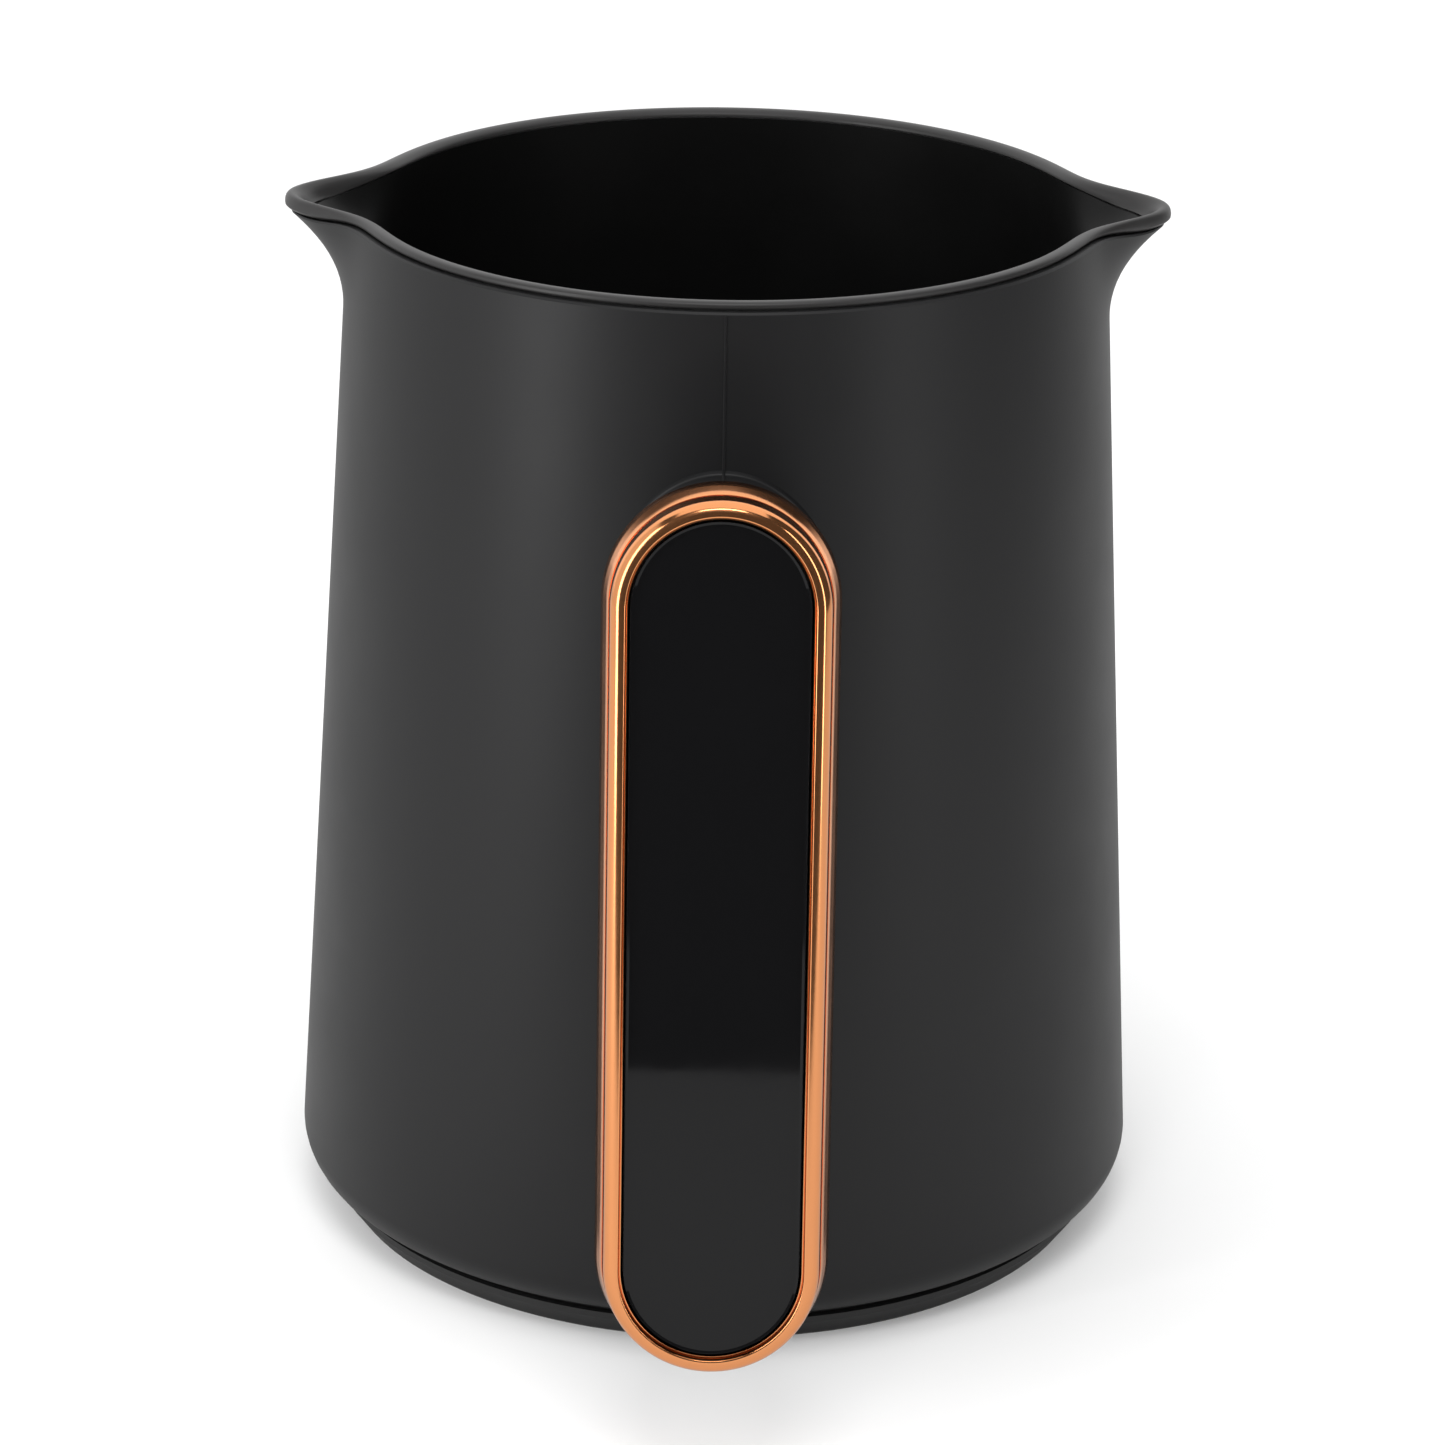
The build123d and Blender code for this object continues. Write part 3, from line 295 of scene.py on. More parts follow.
def make_finishes(colours):
    """Every finish of the frother, by its slot."""
    metal = {"Metallic": 1.0}
    return {
        # Moulded ABS from a spark-eroded mould: a soft, even sheen with a fine sandy grain.
        "shell_black": finish(
            "Moulded ABS black", colours.shell, 0.43, grain=0.35, depth=0.006, spread=0.03,
            sockets={"IOR": 1.38},
        ),
        # The lip's ABS comes from a smoother mould, so it catches more light.
        "rim_grey": finish(
            "Moulded ABS satin grey", colours.rim, 0.42, grain=0.5, depth=0.004,
            sockets={"IOR": 1.5},
        ),
        # Polypropylene is waxy and a little uneven in gloss.
        "base_black": finish(
            "Moulded polypropylene black", colours.base, 0.5, grain=0.4, depth=0.006,
            sockets={"IOR": 1.49},
        ),
        # Copper plate over polished ABS: a mirror with slow ripples from the plastic under it.
        "copper_plate": finish(
            "Copper-plated ABS", colours.copper, 0.13, grain=3.0, depth=0.004, patch=12.0, tint=0.04,
            spread=0.025, sockets=metal,
        ),
        # Cast acrylic: deep black under a hard mirror gloss.
        "gloss_black": finish(
            "Gloss black acrylic", colours.inlay, 0.05, grain=6.0, depth=0.002, patch=18.0, spread=0.02,
            sockets={"IOR": 1.35},
        ),
        # Fluoropolymer coating sprayed on steel: matt with a slight orange peel.
        "non_stick": finish(
            "Non-stick fluoropolymer coating", colours.bowl, 0.4, grain=0.7, depth=0.01, tint=0.2,
            sockets={"IOR": 1.3},
        ),
        # Glass-filled nylon: dull with faint flow marks.
        "inner_plastic": finish(
            "Moulded glass-filled nylon", linear("#2A2A2B"), 0.55, grain=0.3, depth=0.01,
        ),
        # Silicone rubber: very soft sheen.
        "silicone": finish("Moulded silicone rubber", linear("#151515"), 0.6, grain=0.5, depth=0.006),
        # Turned stainless steel: bright with fine tool marks.
        "steel": finish(
            "Turned stainless steel", linear("#B9B8B4"), 0.26, grain=0.25, depth=0.002, sockets=metal,
        ),
        # Rolled copper strip: soft mirror, slightly browned.
        "contact_copper": finish(
            "Rolled copper strip", linear("#D08A5C"), 0.3, grain=0.4, depth=0.002, patch=4.0, sockets=metal,
        ),
        # Die-cast aluminium: grey and grainy.
        "aluminium": finish(
            "Die-cast aluminium", linear("#A7A8A9"), 0.45, grain=0.5, depth=0.012, sockets=metal,
        ),
        # Heater sheath: drawn steel, straw-tinted by heat.
        "sheath": finish(
            "Drawn steel sheath, heat-tinted", linear("#8E8070"), 0.4, grain=0.3, depth=0.004, patch=8.0,
            tint=0.25, sockets=metal,
        ),
        # Glazed ceramic: off-white and glassy.
        "ceramic": finish(
            "Glazed ceramic", linear("#E9E4D8"), 0.15, grain=0.8, depth=0.003, sockets={"IOR": 1.55},
        ),
        # Solder mask over fibreglass: glossy green with the cloth showing faintly.
        "board_green": finish(
            "Solder mask over fibreglass", linear("#1F5A34"), 0.3, grain=0.6, depth=0.01,
        ),
        # Moulded epoxy: dark and dull.
        "component_black": finish("Moulded epoxy black", linear("#1A1A1C"), 0.5, grain=0.2, depth=0.006),
        # Moulded polyester case: strong blue, half gloss.
        "component_blue": finish(
            "Moulded polyester blue", linear("#2459A8"), 0.35, grain=0.5, depth=0.004,
        ),
        # Sintered ferrite: charcoal, slightly metallic grit.
        "magnet": finish("Sintered ferrite", linear("#3A3A3D"), 0.5, grain=0.2, depth=0.012),
        # Nickel plate: warm silver mirror.
        "magnet_bright": finish(
            "Nickel-plated magnet", linear("#C9C3B6"), 0.18, grain=0.6, depth=0.002, sockets=metal,
        ),
        # Sintered bronze: porous brown-gold.
        "bronze": finish("Sintered bronze", linear("#A9793F"), 0.4, grain=0.15, depth=0.01, sockets=metal),
        # Enamelled wire: copper under a clear varnish, in fine ridges one wire apart.
        "winding": finish(
            "Enamelled copper winding", linear("#B5622E"), 0.3, grain=0.25, depth=0.04, sockets=metal,
        ),
        # Food-grade polypropylene of the whisk: dark grey, waxy.
        "whisk_plastic": finish(
            "Moulded polypropylene grey", linear("#3A3B3D"), 0.45, grain=0.4, depth=0.006,
        ),
        # PVC sleeves of the leads: smooth with a slight ripple.
        "wire_brown": finish("PVC sleeve brown", linear("#5E3317"), 0.4, grain=0.8, depth=0.008),
        "wire_blue": finish("PVC sleeve blue", linear("#1C4FA0"), 0.4, grain=0.8, depth=0.008),
        "wire_green": finish("PVC sleeve green", linear("#3C8A2E"), 0.4, grain=0.8, depth=0.008),
        "wire_white": finish("PVC sleeve white", linear("#DCDBD6"), 0.4, grain=0.8, depth=0.008),
    }


finishes = {}

# Modelled parts that keep their shape, and the slot of each
NODE_FINISHES = {
    "handle_carrier": "inner_plastic", "drive_frame": "inner_plastic", "drive_disc": "inner_plastic",
    "motor_end_cap": "inner_plastic", "whisk_sleeve": "inner_plastic",
    "handle_screws": "steel", "base_screws": "steel", "connector_screws": "steel", "frame_screws": "steel",
    "heater_terminals": "steel", "temperature_sensor": "steel", "fuse_clip": "steel", "motor_can": "steel",
    "motor_shaft": "steel", "whisk_pin": "steel",
    "base_cover": "base_black", "connector_housing": "base_black",
    "base_gasket": "silicone", "frame_dampers": "silicone",
    "live_contact": "contact_copper", "neutral_contact": "contact_copper",
    "earth_contact": "contact_copper",
    "heater_plate": "aluminium", "sensor_holder": "aluminium", "heater_element": "sheath",
    "thermal_fuse": "ceramic", "control_board": "board_green", "relay": "component_blue",
    "rectifier": "component_black", "capacitor": "component_black",
    "motor_bushes": "bronze", "motor_magnets": "magnet", "armature": "winding",
    "drive_magnets": "magnet_bright", "whisk_magnets": "magnet_bright", "whisk_hub": "whisk_plastic",
    "live_lead": "wire_brown", "heater_lead": "wire_brown", "neutral_lead": "wire_blue",
    "earth_lead": "wire_green", "sensor_lead": "wire_white", "motor_lead": "wire_white",
}


# ---------------------------------------------------------------- shapes
def add_piece(name, mesh, slot, body, *nodes, crease=32.0):
    """Turn a bmesh into a smooth piece with sharp creases, riding a body in place of CAD nodes."""
    bmesh.ops.remove_doubles(mesh, verts=mesh.verts, dist=0.002)
    bmesh.ops.recalc_face_normals(mesh, faces=mesh.faces)
    bmesh.ops.scale(mesh, vec=(MM, MM, MM), verts=mesh.verts)
    data = bpy.data.meshes.new(name)
    mesh.to_mesh(data)
    mesh.free()
    data.shade_smooth()
    data.set_sharp_from_angle(angle=radians(crease))
    piece = bpy.data.objects.new(name, data)
    bpy.context.scene.collection.objects.link(piece)
    piece.data.materials.append(finishes[slot])
    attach(piece, body)
    if nodes:
        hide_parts(*nodes)
    return piece


def only(geom, kind):
    """The items of one kind among those that a bmesh operator gives back."""
    return [item for item in geom if isinstance(item, kind)]


def draw_out(mesh, face):
    """Extrude a face where it stands, and return the new face."""
    return only(bmesh.ops.extrude_face_region(mesh, geom=[face])["geom"], bmesh.types.BMFace)[0]


def polyline(mesh, points, close=False):
    """Edges through a few points."""
    verts = [mesh.verts.new(point) for point in points]
    pairs = list(zip(verts, verts[1:]))
    if close:
        pairs.append((verts[-1], verts[0]))
    return [mesh.edges.new(pair) for pair in pairs]


def arc(centre, radius, start, end, steps):
    """Points (r, z) of an arc, with both ends, angles in degrees."""
    angles = [radians(start + (end - start) * at / steps) for at in range(steps + 1)]
    return [(centre[0] + radius * cos(a), centre[1] + radius * sin(a)) for a in angles]


def turned(profile, steps, close=True):
    """(r, z) profile spun once round the Z axis, closed on itself or ending on the axis."""
    mesh = bmesh.new()
    edges = polyline(mesh, [(r, 0.0, z) for r, z in profile], close=close)
    verts = list(mesh.verts)
    bmesh.ops.spin(
        mesh, geom=verts + edges, cent=(0, 0, 0), axis=(0, 0, 1), angle=TURN, steps=steps, use_merge=True,
    )
    return mesh


def wall_radius(z):
    """Outer radius of the wall away from the spouts."""
    return WIDEST_RADIUS - (z - WIDEST_Z) * WALL_SLOPE


def flare(z):
    """How far a spout's middle stands out at height z."""
    return FLARE_RATE * max(0.0, z - FLARE_START_Z) ** 2


def bell(x, y):
    """1 at the middle of a spout, falling to 0 round the rim."""
    off = asin(min(1.0, abs(y) / max(hypot(x, y), TINY)))
    return exp(-0.5 * (off / SPOUT_SPREAD) ** 2)


def smooth(value):
    """Smooth step from 0 to 1."""
    value = min(1.0, max(0.0, value))
    return value * value * (3 - 2 * value)


def pad(x, y):
    """1 where the lip is thick, at the spouts, and 0 elsewhere."""
    reach = (LIP_OUTER_RADIUS + LIP_REACH * bell(x, y)) * abs(x) / max(hypot(x, y), TINY)
    return smooth((reach - PAD_FROM_X) / (PAD_FULL_X - PAD_FROM_X))


def flare_spouts(mesh, top):
    """Push both spouts out of a turned wall, and lower its top edge under the thick lip."""
    for vert in mesh.verts:
        x, y, z = vert.co
        if z <= FLARE_START_Z:
            continue
        share = (z - FLARE_START_Z) / (top - FLARE_START_Z)
        z -= PAD_DROP * pad(x, y) * min(1.0, share)
        radius = hypot(x, y)
        grow = (radius + flare(z) * bell(x, y)) / radius
        vert.co = (x * grow, y * grow, z)


def rises(start, end, steps):
    """Heights between two levels, both ends included."""
    return [start + (end - start) * at / steps for at in range(steps + 1)]


# ---------------------------------------------------------------- the handle's face
def on_face(across, along, out):
    """Point from the handle face's own axes."""
    return FACE_CENTRE + Vector((across, 0, 0)) + FACE_ALONG * along + FACE_NORMAL * out


def place_on_face(mesh):
    """Move a mesh from (across, along, out) axes to the frame."""
    axes = Matrix((Vector((1, 0, 0)), FACE_ALONG, FACE_NORMAL)).transposed().to_4x4()
    bmesh.ops.transform(mesh, matrix=Matrix.Translation(FACE_CENTRE) @ axes, verts=mesh.verts)


def swept_stadium(section, steps=56):
    """Closed (inset, out) section carried once round the handle's outline."""
    mesh = bmesh.new()
    points = [(HALF_WIDTH - inset, HALF_STRAIGHT, out) for inset, out in section]
    run = polyline(mesh, points, close=True)
    for end in (1, -1):
        geom = bmesh.ops.spin(
            mesh, geom=run + list({v for e in run for v in e.verts}), cent=(0, end * HALF_STRAIGHT, 0),
            axis=(0, 0, 1), angle=pi, steps=steps,
        )["geom_last"]
        drawn = bmesh.ops.extrude_edge_only(mesh, edges=only(geom, bmesh.types.BMEdge))["geom"]
        bmesh.ops.translate(
            mesh, vec=(0, -end * 2 * HALF_STRAIGHT, 0), verts=only(drawn, bmesh.types.BMVert),
        )
        run = [edge for edge in only(drawn, bmesh.types.BMEdge)
               if all(abs(v.co.y + end * HALF_STRAIGHT) < SAME for v in edge.verts)]
    return mesh


def stadium_face(mesh, inset, out, steps=56):
    """Flat stadium face, parallel to the handle's face."""
    half = HALF_WIDTH - inset
    ends = []
    for end in (1, -1):
        start = mesh.verts.new((end * half, end * HALF_STRAIGHT, out))
        spun = bmesh.ops.spin(
            mesh, geom=[start], cent=(0, end * HALF_STRAIGHT, 0), axis=(0, 0, 1), angle=pi, steps=steps,
        )["geom_last"]
        ends.append((start, spun[0]))
    mesh.edges.new((ends[0][1], ends[1][0]))
    mesh.edges.new((ends[1][1], ends[0][0]))
    return bmesh.ops.contextual_create(mesh, geom=list(mesh.edges))["faces"][0]


def place_key(point):
    """Rounded coordinates, to find a vertex again after it is drawn out."""
    return tuple(round(c, 4) for c in point)


def wall_gap(point):
    """Distance of a point from the wall, and the wall's outward direction there."""
    lean = hypot(1.0, WALL_SLOPE)
    radius = hypot(point.x, point.y)
    outward = Vector((point.x / radius, point.y / radius, WALL_SLOPE)) / lean
    return (radius - wall_radius(point.z)) / lean, outward


def blend_path(start, out, along, blend, steps):
    """Points of a hollow blend from a surface to the wall, and a last one inside the wall."""
    centre = start + out * blend
    for _ in range(BLEND_TRIES):
        centre = centre + along * ((wall_gap(centre)[0] - blend) * BLEND_CLOSING)
    wall_out = wall_gap(centre)[1]
    path = [centre - out.slerp(wall_out, step / steps) * blend for step in range(steps + 1)]
    path.append(path[-1] - wall_out * BLEND_DEPTH)
    return path


def arm_lift(path, at):
    """Outward direction of a path in the plane x = 0, which turns from the arm's top up the wall."""
    run = (path[min(at + 1, len(path) - 1)] - path[max(at - 1, 0)]).normalized()
    return Vector((0, -run.z, run.y))


# ---------------------------------------------------------------- operators
class FROTHER_OT_jug_wall(bpy.types.Operator):
    """Build the jug's wall with its two spouts"""

    bl_idname = "frother.jug_wall"
    bl_label = "Jug wall"

    def execute(self, context):
        rounding = arc((WIDEST_RADIUS - FOOT_ROUND, WIDEST_Z), FOOT_ROUND, FOOT_ROUND_START, 0, 8)
        outside = [(r, max(SHELL_BOTTOM_Z, z)) for r, z in rounding]
        outside += [(wall_radius(z), z) for z in rises(WIDEST_Z, FLARE_START_Z, 6)[1:]]
        flared = rises(FLARE_START_Z, SHELL_TOP_Z - EDGE_BREAK, 12)
        outside += [(wall_radius(z), z) for z in flared[1:]]
        top_radius = wall_radius(SHELL_TOP_Z)
        rim = [(top_radius - EDGE_BREAK, SHELL_TOP_Z), (top_radius - TOP_EDGE_WIDTH, SHELL_TOP_Z)]
        inside = [(wall_radius(z) - SHELL_THICKNESS, z) for z in reversed(flared)]
        foot = [
            (wall_radius(FOOT_THICK_Z) - SHELL_THICKNESS, FOOT_THICK_Z),
            (wall_radius(SHELL_LEDGE_Z) - SHELL_THICKNESS - FOOT_THICKEN, SHELL_LEDGE_Z),
            (SHELL_MOUTH_RADIUS, SHELL_LEDGE_Z),
            (SHELL_MOUTH_RADIUS, SHELL_BOTTOM_Z),
        ]
        mesh = turned(outside + rim + inside + foot, AROUND)
        flare_spouts(mesh, SHELL_TOP_Z)
        add_piece("jug_wall", mesh, "shell_black", "jug", "outer_shell")
        return {"FINISHED"}


class FROTHER_OT_handle_grip(bpy.types.Operator):
    """Build the grip and the arm that blends into the wall"""

    bl_idname = "frother.handle_grip"
    bl_label = "Handle grip"

    def root_face(self, mesh):
        """The upper face of the grip's back, which the arm grows from."""
        backs = [f for f in mesh.faces if all(abs(v.co.z - GRIP_BACK) < NEAR for v in f.verts)]
        return max(backs, key=lambda f: f.calc_center_median().y)

    def draw_arm(self, mesh, root, low_start, swing):
        """Draw the arm back from its root face, round the hollow corner under it and to the wall."""
        top = HALF_STRAIGHT + HALF_WIDTH - GRIP_INSET
        drift = ARM_LEAN * (GRIP_BACK + TRIM_DEPTH)
        shares = {
            place_key(v.co): (
                v.co.x,
                min(1.0, (v.co.y - low_start) / (HALF_STRAIGHT + drift - low_start)),
                max(0.0, v.co.y - HALF_STRAIGHT - drift),
                (v.co.y - low_start) / (top + drift - low_start),
            )
            for v in root.verts
        }
        for at in range(1, ARM_STEPS + 2):
            root = draw_out(mesh, root)
            last = at > ARM_STEPS
            angle = swing * min(1.0, at / ARM_STEPS)
            low = low_start + ARM_CORNER * sin(angle)
            low_out = GRIP_BACK - ARM_CORNER * (1 - cos(angle))
            high_out = GRIP_BACK - ARM_TOP_RUN * at / ARM_STEPS
            if last:
                # The last ring stands upright, a little way from the wall.
                low_out -= ARM_END_RUN
                low += ARM_END_RUN * FACE_NORMAL.z
                high_out = low_out
            moved = {}
            for vert in root.verts:
                x, share, crown, mix = shares[place_key(vert.co)]
                out = low_out + (high_out - low_out) * mix
                for _ in range(ARM_END_TRIES if last else 1):
                    spring = HALF_STRAIGHT + ARM_LEAN * (out + TRIM_DEPTH)
                    along = low + share * (spring - low) + crown
                    if last:
                        out = (FACE_CENTRE.y + FACE_ALONG.y * along - ARM_END_Y) / -FACE_NORMAL.y
                vert.co = (x * (1 - ARM_TAPER * (GRIP_BACK - out)), along, out)
                moved[place_key(vert.co)] = (x, share, crown, mix)
            shares = moved
        return root

    def blend_into_wall(self, mesh, blend, steps=9):
        """Carry the arm's end round a hollow blend until it lies along the wall, then into it."""
        cap = max(mesh.faces, key=lambda f: f.calc_center_median().y)
        middle = cap.calc_center_median()
        loop = [corner.vert for corner in cap.loops]
        paths = {}
        for at, vert in enumerate(loop):
            behind = next(
                e.other_vert(vert) for e in vert.link_edges if e.other_vert(vert) not in loop
            )
            along = (vert.co - behind.co).normalized()
            side = loop[(at + 1) % len(loop)].co - loop[at - 1].co
            out = side.cross(along).normalized()
            if out.dot(vert.co - middle) < 0:
                out.negate()
            paths[place_key(vert.co)] = blend_path(vert.co, out, along, blend, steps)
        for step in range(steps + 2):
            cap = draw_out(mesh, cap)
            moved = {}
            for vert in cap.verts:
                path = paths[place_key(vert.co)]
                vert.co = path[step]
                moved[place_key(vert.co)] = path
            paths = moved

    def execute(self, context):
        sizes = context.scene.frother_sizes
        mesh = bmesh.new()
        front = stadium_face(mesh, GRIP_INSET, -TRIM_DEPTH)
        swing = pi / 2 - asin(FACE_NORMAL.z)
        corner_out = GRIP_BACK - ARM_CORNER * (1 - cos(swing))
        corner_end = (ARM_UNDERSIDE_Z - FACE_CENTRE.z - FACE_NORMAL.z * corner_out) / FACE_ALONG.z
        corner_start = corner_end - ARM_CORNER * sin(swing)
        back = draw_out(mesh, front)
        bmesh.ops.translate(mesh, vec=(0, 0, GRIP_BACK + TRIM_DEPTH), verts=back.verts)
        bmesh.ops.translate(
            mesh, vec=(0, ARM_LEAN * (GRIP_BACK + TRIM_DEPTH), 0),
            verts=[v for v in back.verts if v.co.y > 0],
        )
        cut = bmesh.ops.bisect_plane(
            mesh, geom=[back] + list(back.edges) + list(back.verts), dist=SAME,
            plane_co=(0, corner_start, 0), plane_no=(0, 1, 0),
        )["geom_cut"]
        bmesh.ops.subdivide_edges(mesh, edges=only(cut, bmesh.types.BMEdge), cuts=ROOT_CUTS)
        flanks = [
            e for e in self.root_face(mesh).edges if abs(e.verts[0].co.x - e.verts[1].co.x) < SAME
        ]
        bmesh.ops.subdivide_edges(mesh, edges=flanks, cuts=FLANK_CUTS)
        end = self.draw_arm(mesh, self.root_face(mesh), corner_start, swing)
        last = set(end.verts)
        mesh.normal_update()
        sharp = [
            e for e in mesh.edges
            if e.is_manifold and e.calc_face_angle() > radians(SHARP_ANGLE)
            and not all(v in last for v in e.verts)
            and not all(abs(v.co.z + TRIM_DEPTH) < NEAR for v in e.verts)
        ]
        bmesh.ops.bevel(
            mesh, geom=sharp, offset=sizes.grip_round / MM, offset_type="OFFSET", segments=6,
            profile=0.5, affect="EDGES", material=-1, clamp_overlap=False,
        )
        place_on_face(mesh)
        self.blend_into_wall(mesh, sizes.blend_radius / MM)
        add_piece("handle_grip", mesh, "shell_black", "jug", "outer_shell")
        return {"FINISHED"}


class FROTHER_OT_parting_line(bpy.types.Operator):
    """Build the fine mould line that runs down the wall and over the arm"""

    bl_idname = "frother.parting_line"
    bl_label = "Parting line"

    def execute(self, context):
        sizes = context.scene.frother_sizes
        width = sizes.line_width / MM
        height = sizes.line_height / MM
        top = HALF_STRAIGHT + HALF_WIDTH - GRIP_INSET
        crest = [on_face(0, top + ARM_LEAN * (out + TRIM_DEPTH), out) for out in LINE_DEPTHS]
        fall = (crest[-1] - crest[0]).normalized()
        lift = Vector((0, -fall.z, fall.y))
        arm = blend_path(crest[-1], lift, fall, sizes.blend_radius / MM, 10)[:-1]
        path = [(point, lift) for point in crest]
        path += [(point, arm_lift(arm, at)) for at, point in enumerate(arm)]
        wall_out = Vector((0, -1, WALL_SLOPE)).normalized()
        levels = rises(arm[-1].z + LINE_GAP, SHELL_TOP_Z - LINE_TOP_GAP, 6)
        path += [(Vector((0, -wall_radius(z), z)), wall_out) for z in levels]
        mesh = bmesh.new()
        rails = []
        for across, rise in ((-0.5, -LINE_SINK), (-0.2, height), (0.2, height), (0.5, -LINE_SINK)):
            aside = Vector((across * width, 0, 0))
            rails.append(polyline(mesh, [point + out * rise + aside for point, out in path]))
        for one, other in zip(rails, rails[1:] + rails[:1]):
            bmesh.ops.bridge_loops(mesh, edges=one + other)
        bmesh.ops.holes_fill(mesh, edges=[e for e in mesh.edges if e.is_boundary])
        add_piece("parting_line", mesh, "shell_black", "jug")
        return {"FINISHED"}


class FROTHER_OT_handle_trim(bpy.types.Operator):
    """Build the plated ring of the handle, with its side band, groove, bead and inner edge"""

    bl_idname = "frother.handle_trim"
    bl_label = "Handle trim"

    def execute(self, context):
        # (inset, out) points of the section
        band = [
            (0.05, -TRIM_DEPTH), (0.0, -7.1), (0.3, -5.93), (0.6, -4.77), (0.86, -3.75), (0.92, -3.62),
        ]
        groove = [(0.96, -3.66), (0.99, -3.5), (1.06, -2.0)]
        quarter = arc((0.0, -1.0), 1.0, 178, 90, 18)
        bead = [(BEAD_INSET + BEAD_WIDTH * r, BEAD_HEIGHT * z) for r, z in quarter]
        inner = [
            (2.86, -0.03), (2.93, -0.16), (2.97, -0.4), (2.98, -0.84), (3.01, -0.9), (3.06, -0.84),
            (3.17, -0.84), (TRIM_BAND, -0.94), (TRIM_BAND, -TRIM_DEPTH),
        ]
        mesh = swept_stadium(band + groove + bead + inner)
        place_on_face(mesh)
        add_piece("handle_ring", mesh, "copper_plate", "jug", "handle_trim", crease=50.0)
        return {"FINISHED"}


class FROTHER_OT_handle_inlay(bpy.types.Operator):
    """Build the gloss panel inside the plated ring"""

    bl_idname = "frother.handle_inlay"
    bl_label = "Handle inlay"

    def execute(self, context):
        mesh = bmesh.new()
        front = draw_out(mesh, stadium_face(mesh, INLAY_INSET, INLAY_BACK))
        bmesh.ops.translate(
            mesh, vec=(0, 0, INLAY_FRONT - INLAY_BACK - INLAY_CHAMFER), verts=front.verts,
        )
        mesh.normal_update()
        edge = ((0.04, INLAY_FIRST_RISE), (0.28, INLAY_CHAMFER - INLAY_FIRST_RISE), (0.15, 0.0))
        for wide, high in edge:
            bmesh.ops.inset_region(mesh, faces=[front], thickness=wide, depth=high)
        place_on_face(mesh)
        add_piece("handle_panel", mesh, "gloss_black", "jug", "handle_inlay", crease=14.0)
        return {"FINISHED"}


class FROTHER_OT_bowl(bpy.types.Operator):
    """Build the coated bowl inside the jug"""

    bl_idname = "frother.bowl"
    bl_label = "Bowl"

    def side(self, shift):
        """(r, z) points of one face of the sheet, from the middle of the floor to the mouth."""
        foot = BOWL_FLOOR_Z + BOWL_CORNER
        corner = BOWL_FOOT_RADIUS - BOWL_CORNER
        mouth = BOWL_MOUTH_RADIUS + shift
        points = [(r, BOWL_FLOOR_Z - shift) for r in FLOOR_RINGS]
        points += arc((corner, foot), BOWL_CORNER + shift, -90, 0, 12)
        points += [
            (mouth - BOWL_OPENING * (1 - share), foot + (FLARE_START_Z - foot) * share)
            for share in (0.25, 0.5, 0.75, 1.0)
        ]
        return points + [(mouth, z) for z in rises(FLARE_START_Z, SHELL_TOP_Z - 0.05, 14)[1:]]

    def execute(self, context):
        mesh = turned(self.side(0.0) + list(reversed(self.side(SHEET))), AROUND, close=False)
        flare_spouts(mesh, SHELL_TOP_Z)
        add_piece("milk_bowl", mesh, "non_stick", "jug", "inner_bowl")
        return {"FINISHED"}


class FROTHER_OT_lip(bpy.types.Operator):
    """Build the lip round the mouth, thin at the back and thick at the spouts"""

    bl_idname = "frother.lip"
    bl_label = "Lip"

    def execute(self, context):
        # (r, z) points of the section away from the spouts, from the outside over the top
        profile = [
            (46.2, 132.66), (46.34, 132.72), (46.4, 132.86), (46.4, 133.02), (46.35, 133.2),
            (46.22, 133.36), (46.0, 133.46), (45.7, 133.5), (45.3, 133.49), (45.0, 133.42),
            (44.75, 133.28), (44.45, 133.05), (44.35, 132.85), (44.32, 132.66),
        ]
        mesh = turned(profile, AROUND)
        for vert in mesh.verts:
            x, y, z = vert.co
            radius = hypot(x, y)
            swell = bell(x, y)
            deep = pad(x, y)
            low = max(0.0, (LIP_FOOT_Z - z) / LIP_FOOT_HEIGHT)
            z = LIP_TOP_Z - (LIP_TOP_Z - z) * (1 + LIP_DEEPER * deep)
            outer = LIP_REACH * swell
            if radius < LIP_INNER_RADIUS:
                inward = (radius - LIP_MIDDLE_RADIUS) * (1 + LIP_THICKER * deep)
                grow = min(radius + flare(z) * swell, LIP_CREST_RADIUS + outer + inward)
            else:
                grow = radius + outer - LIP_TUCK * deep * low ** 2
            vert.co = (x * grow / radius, y * grow / radius, z)
        add_piece("lip_ring", mesh, "rim_grey", "jug", "rim_ring")
        return {"FINISHED"}


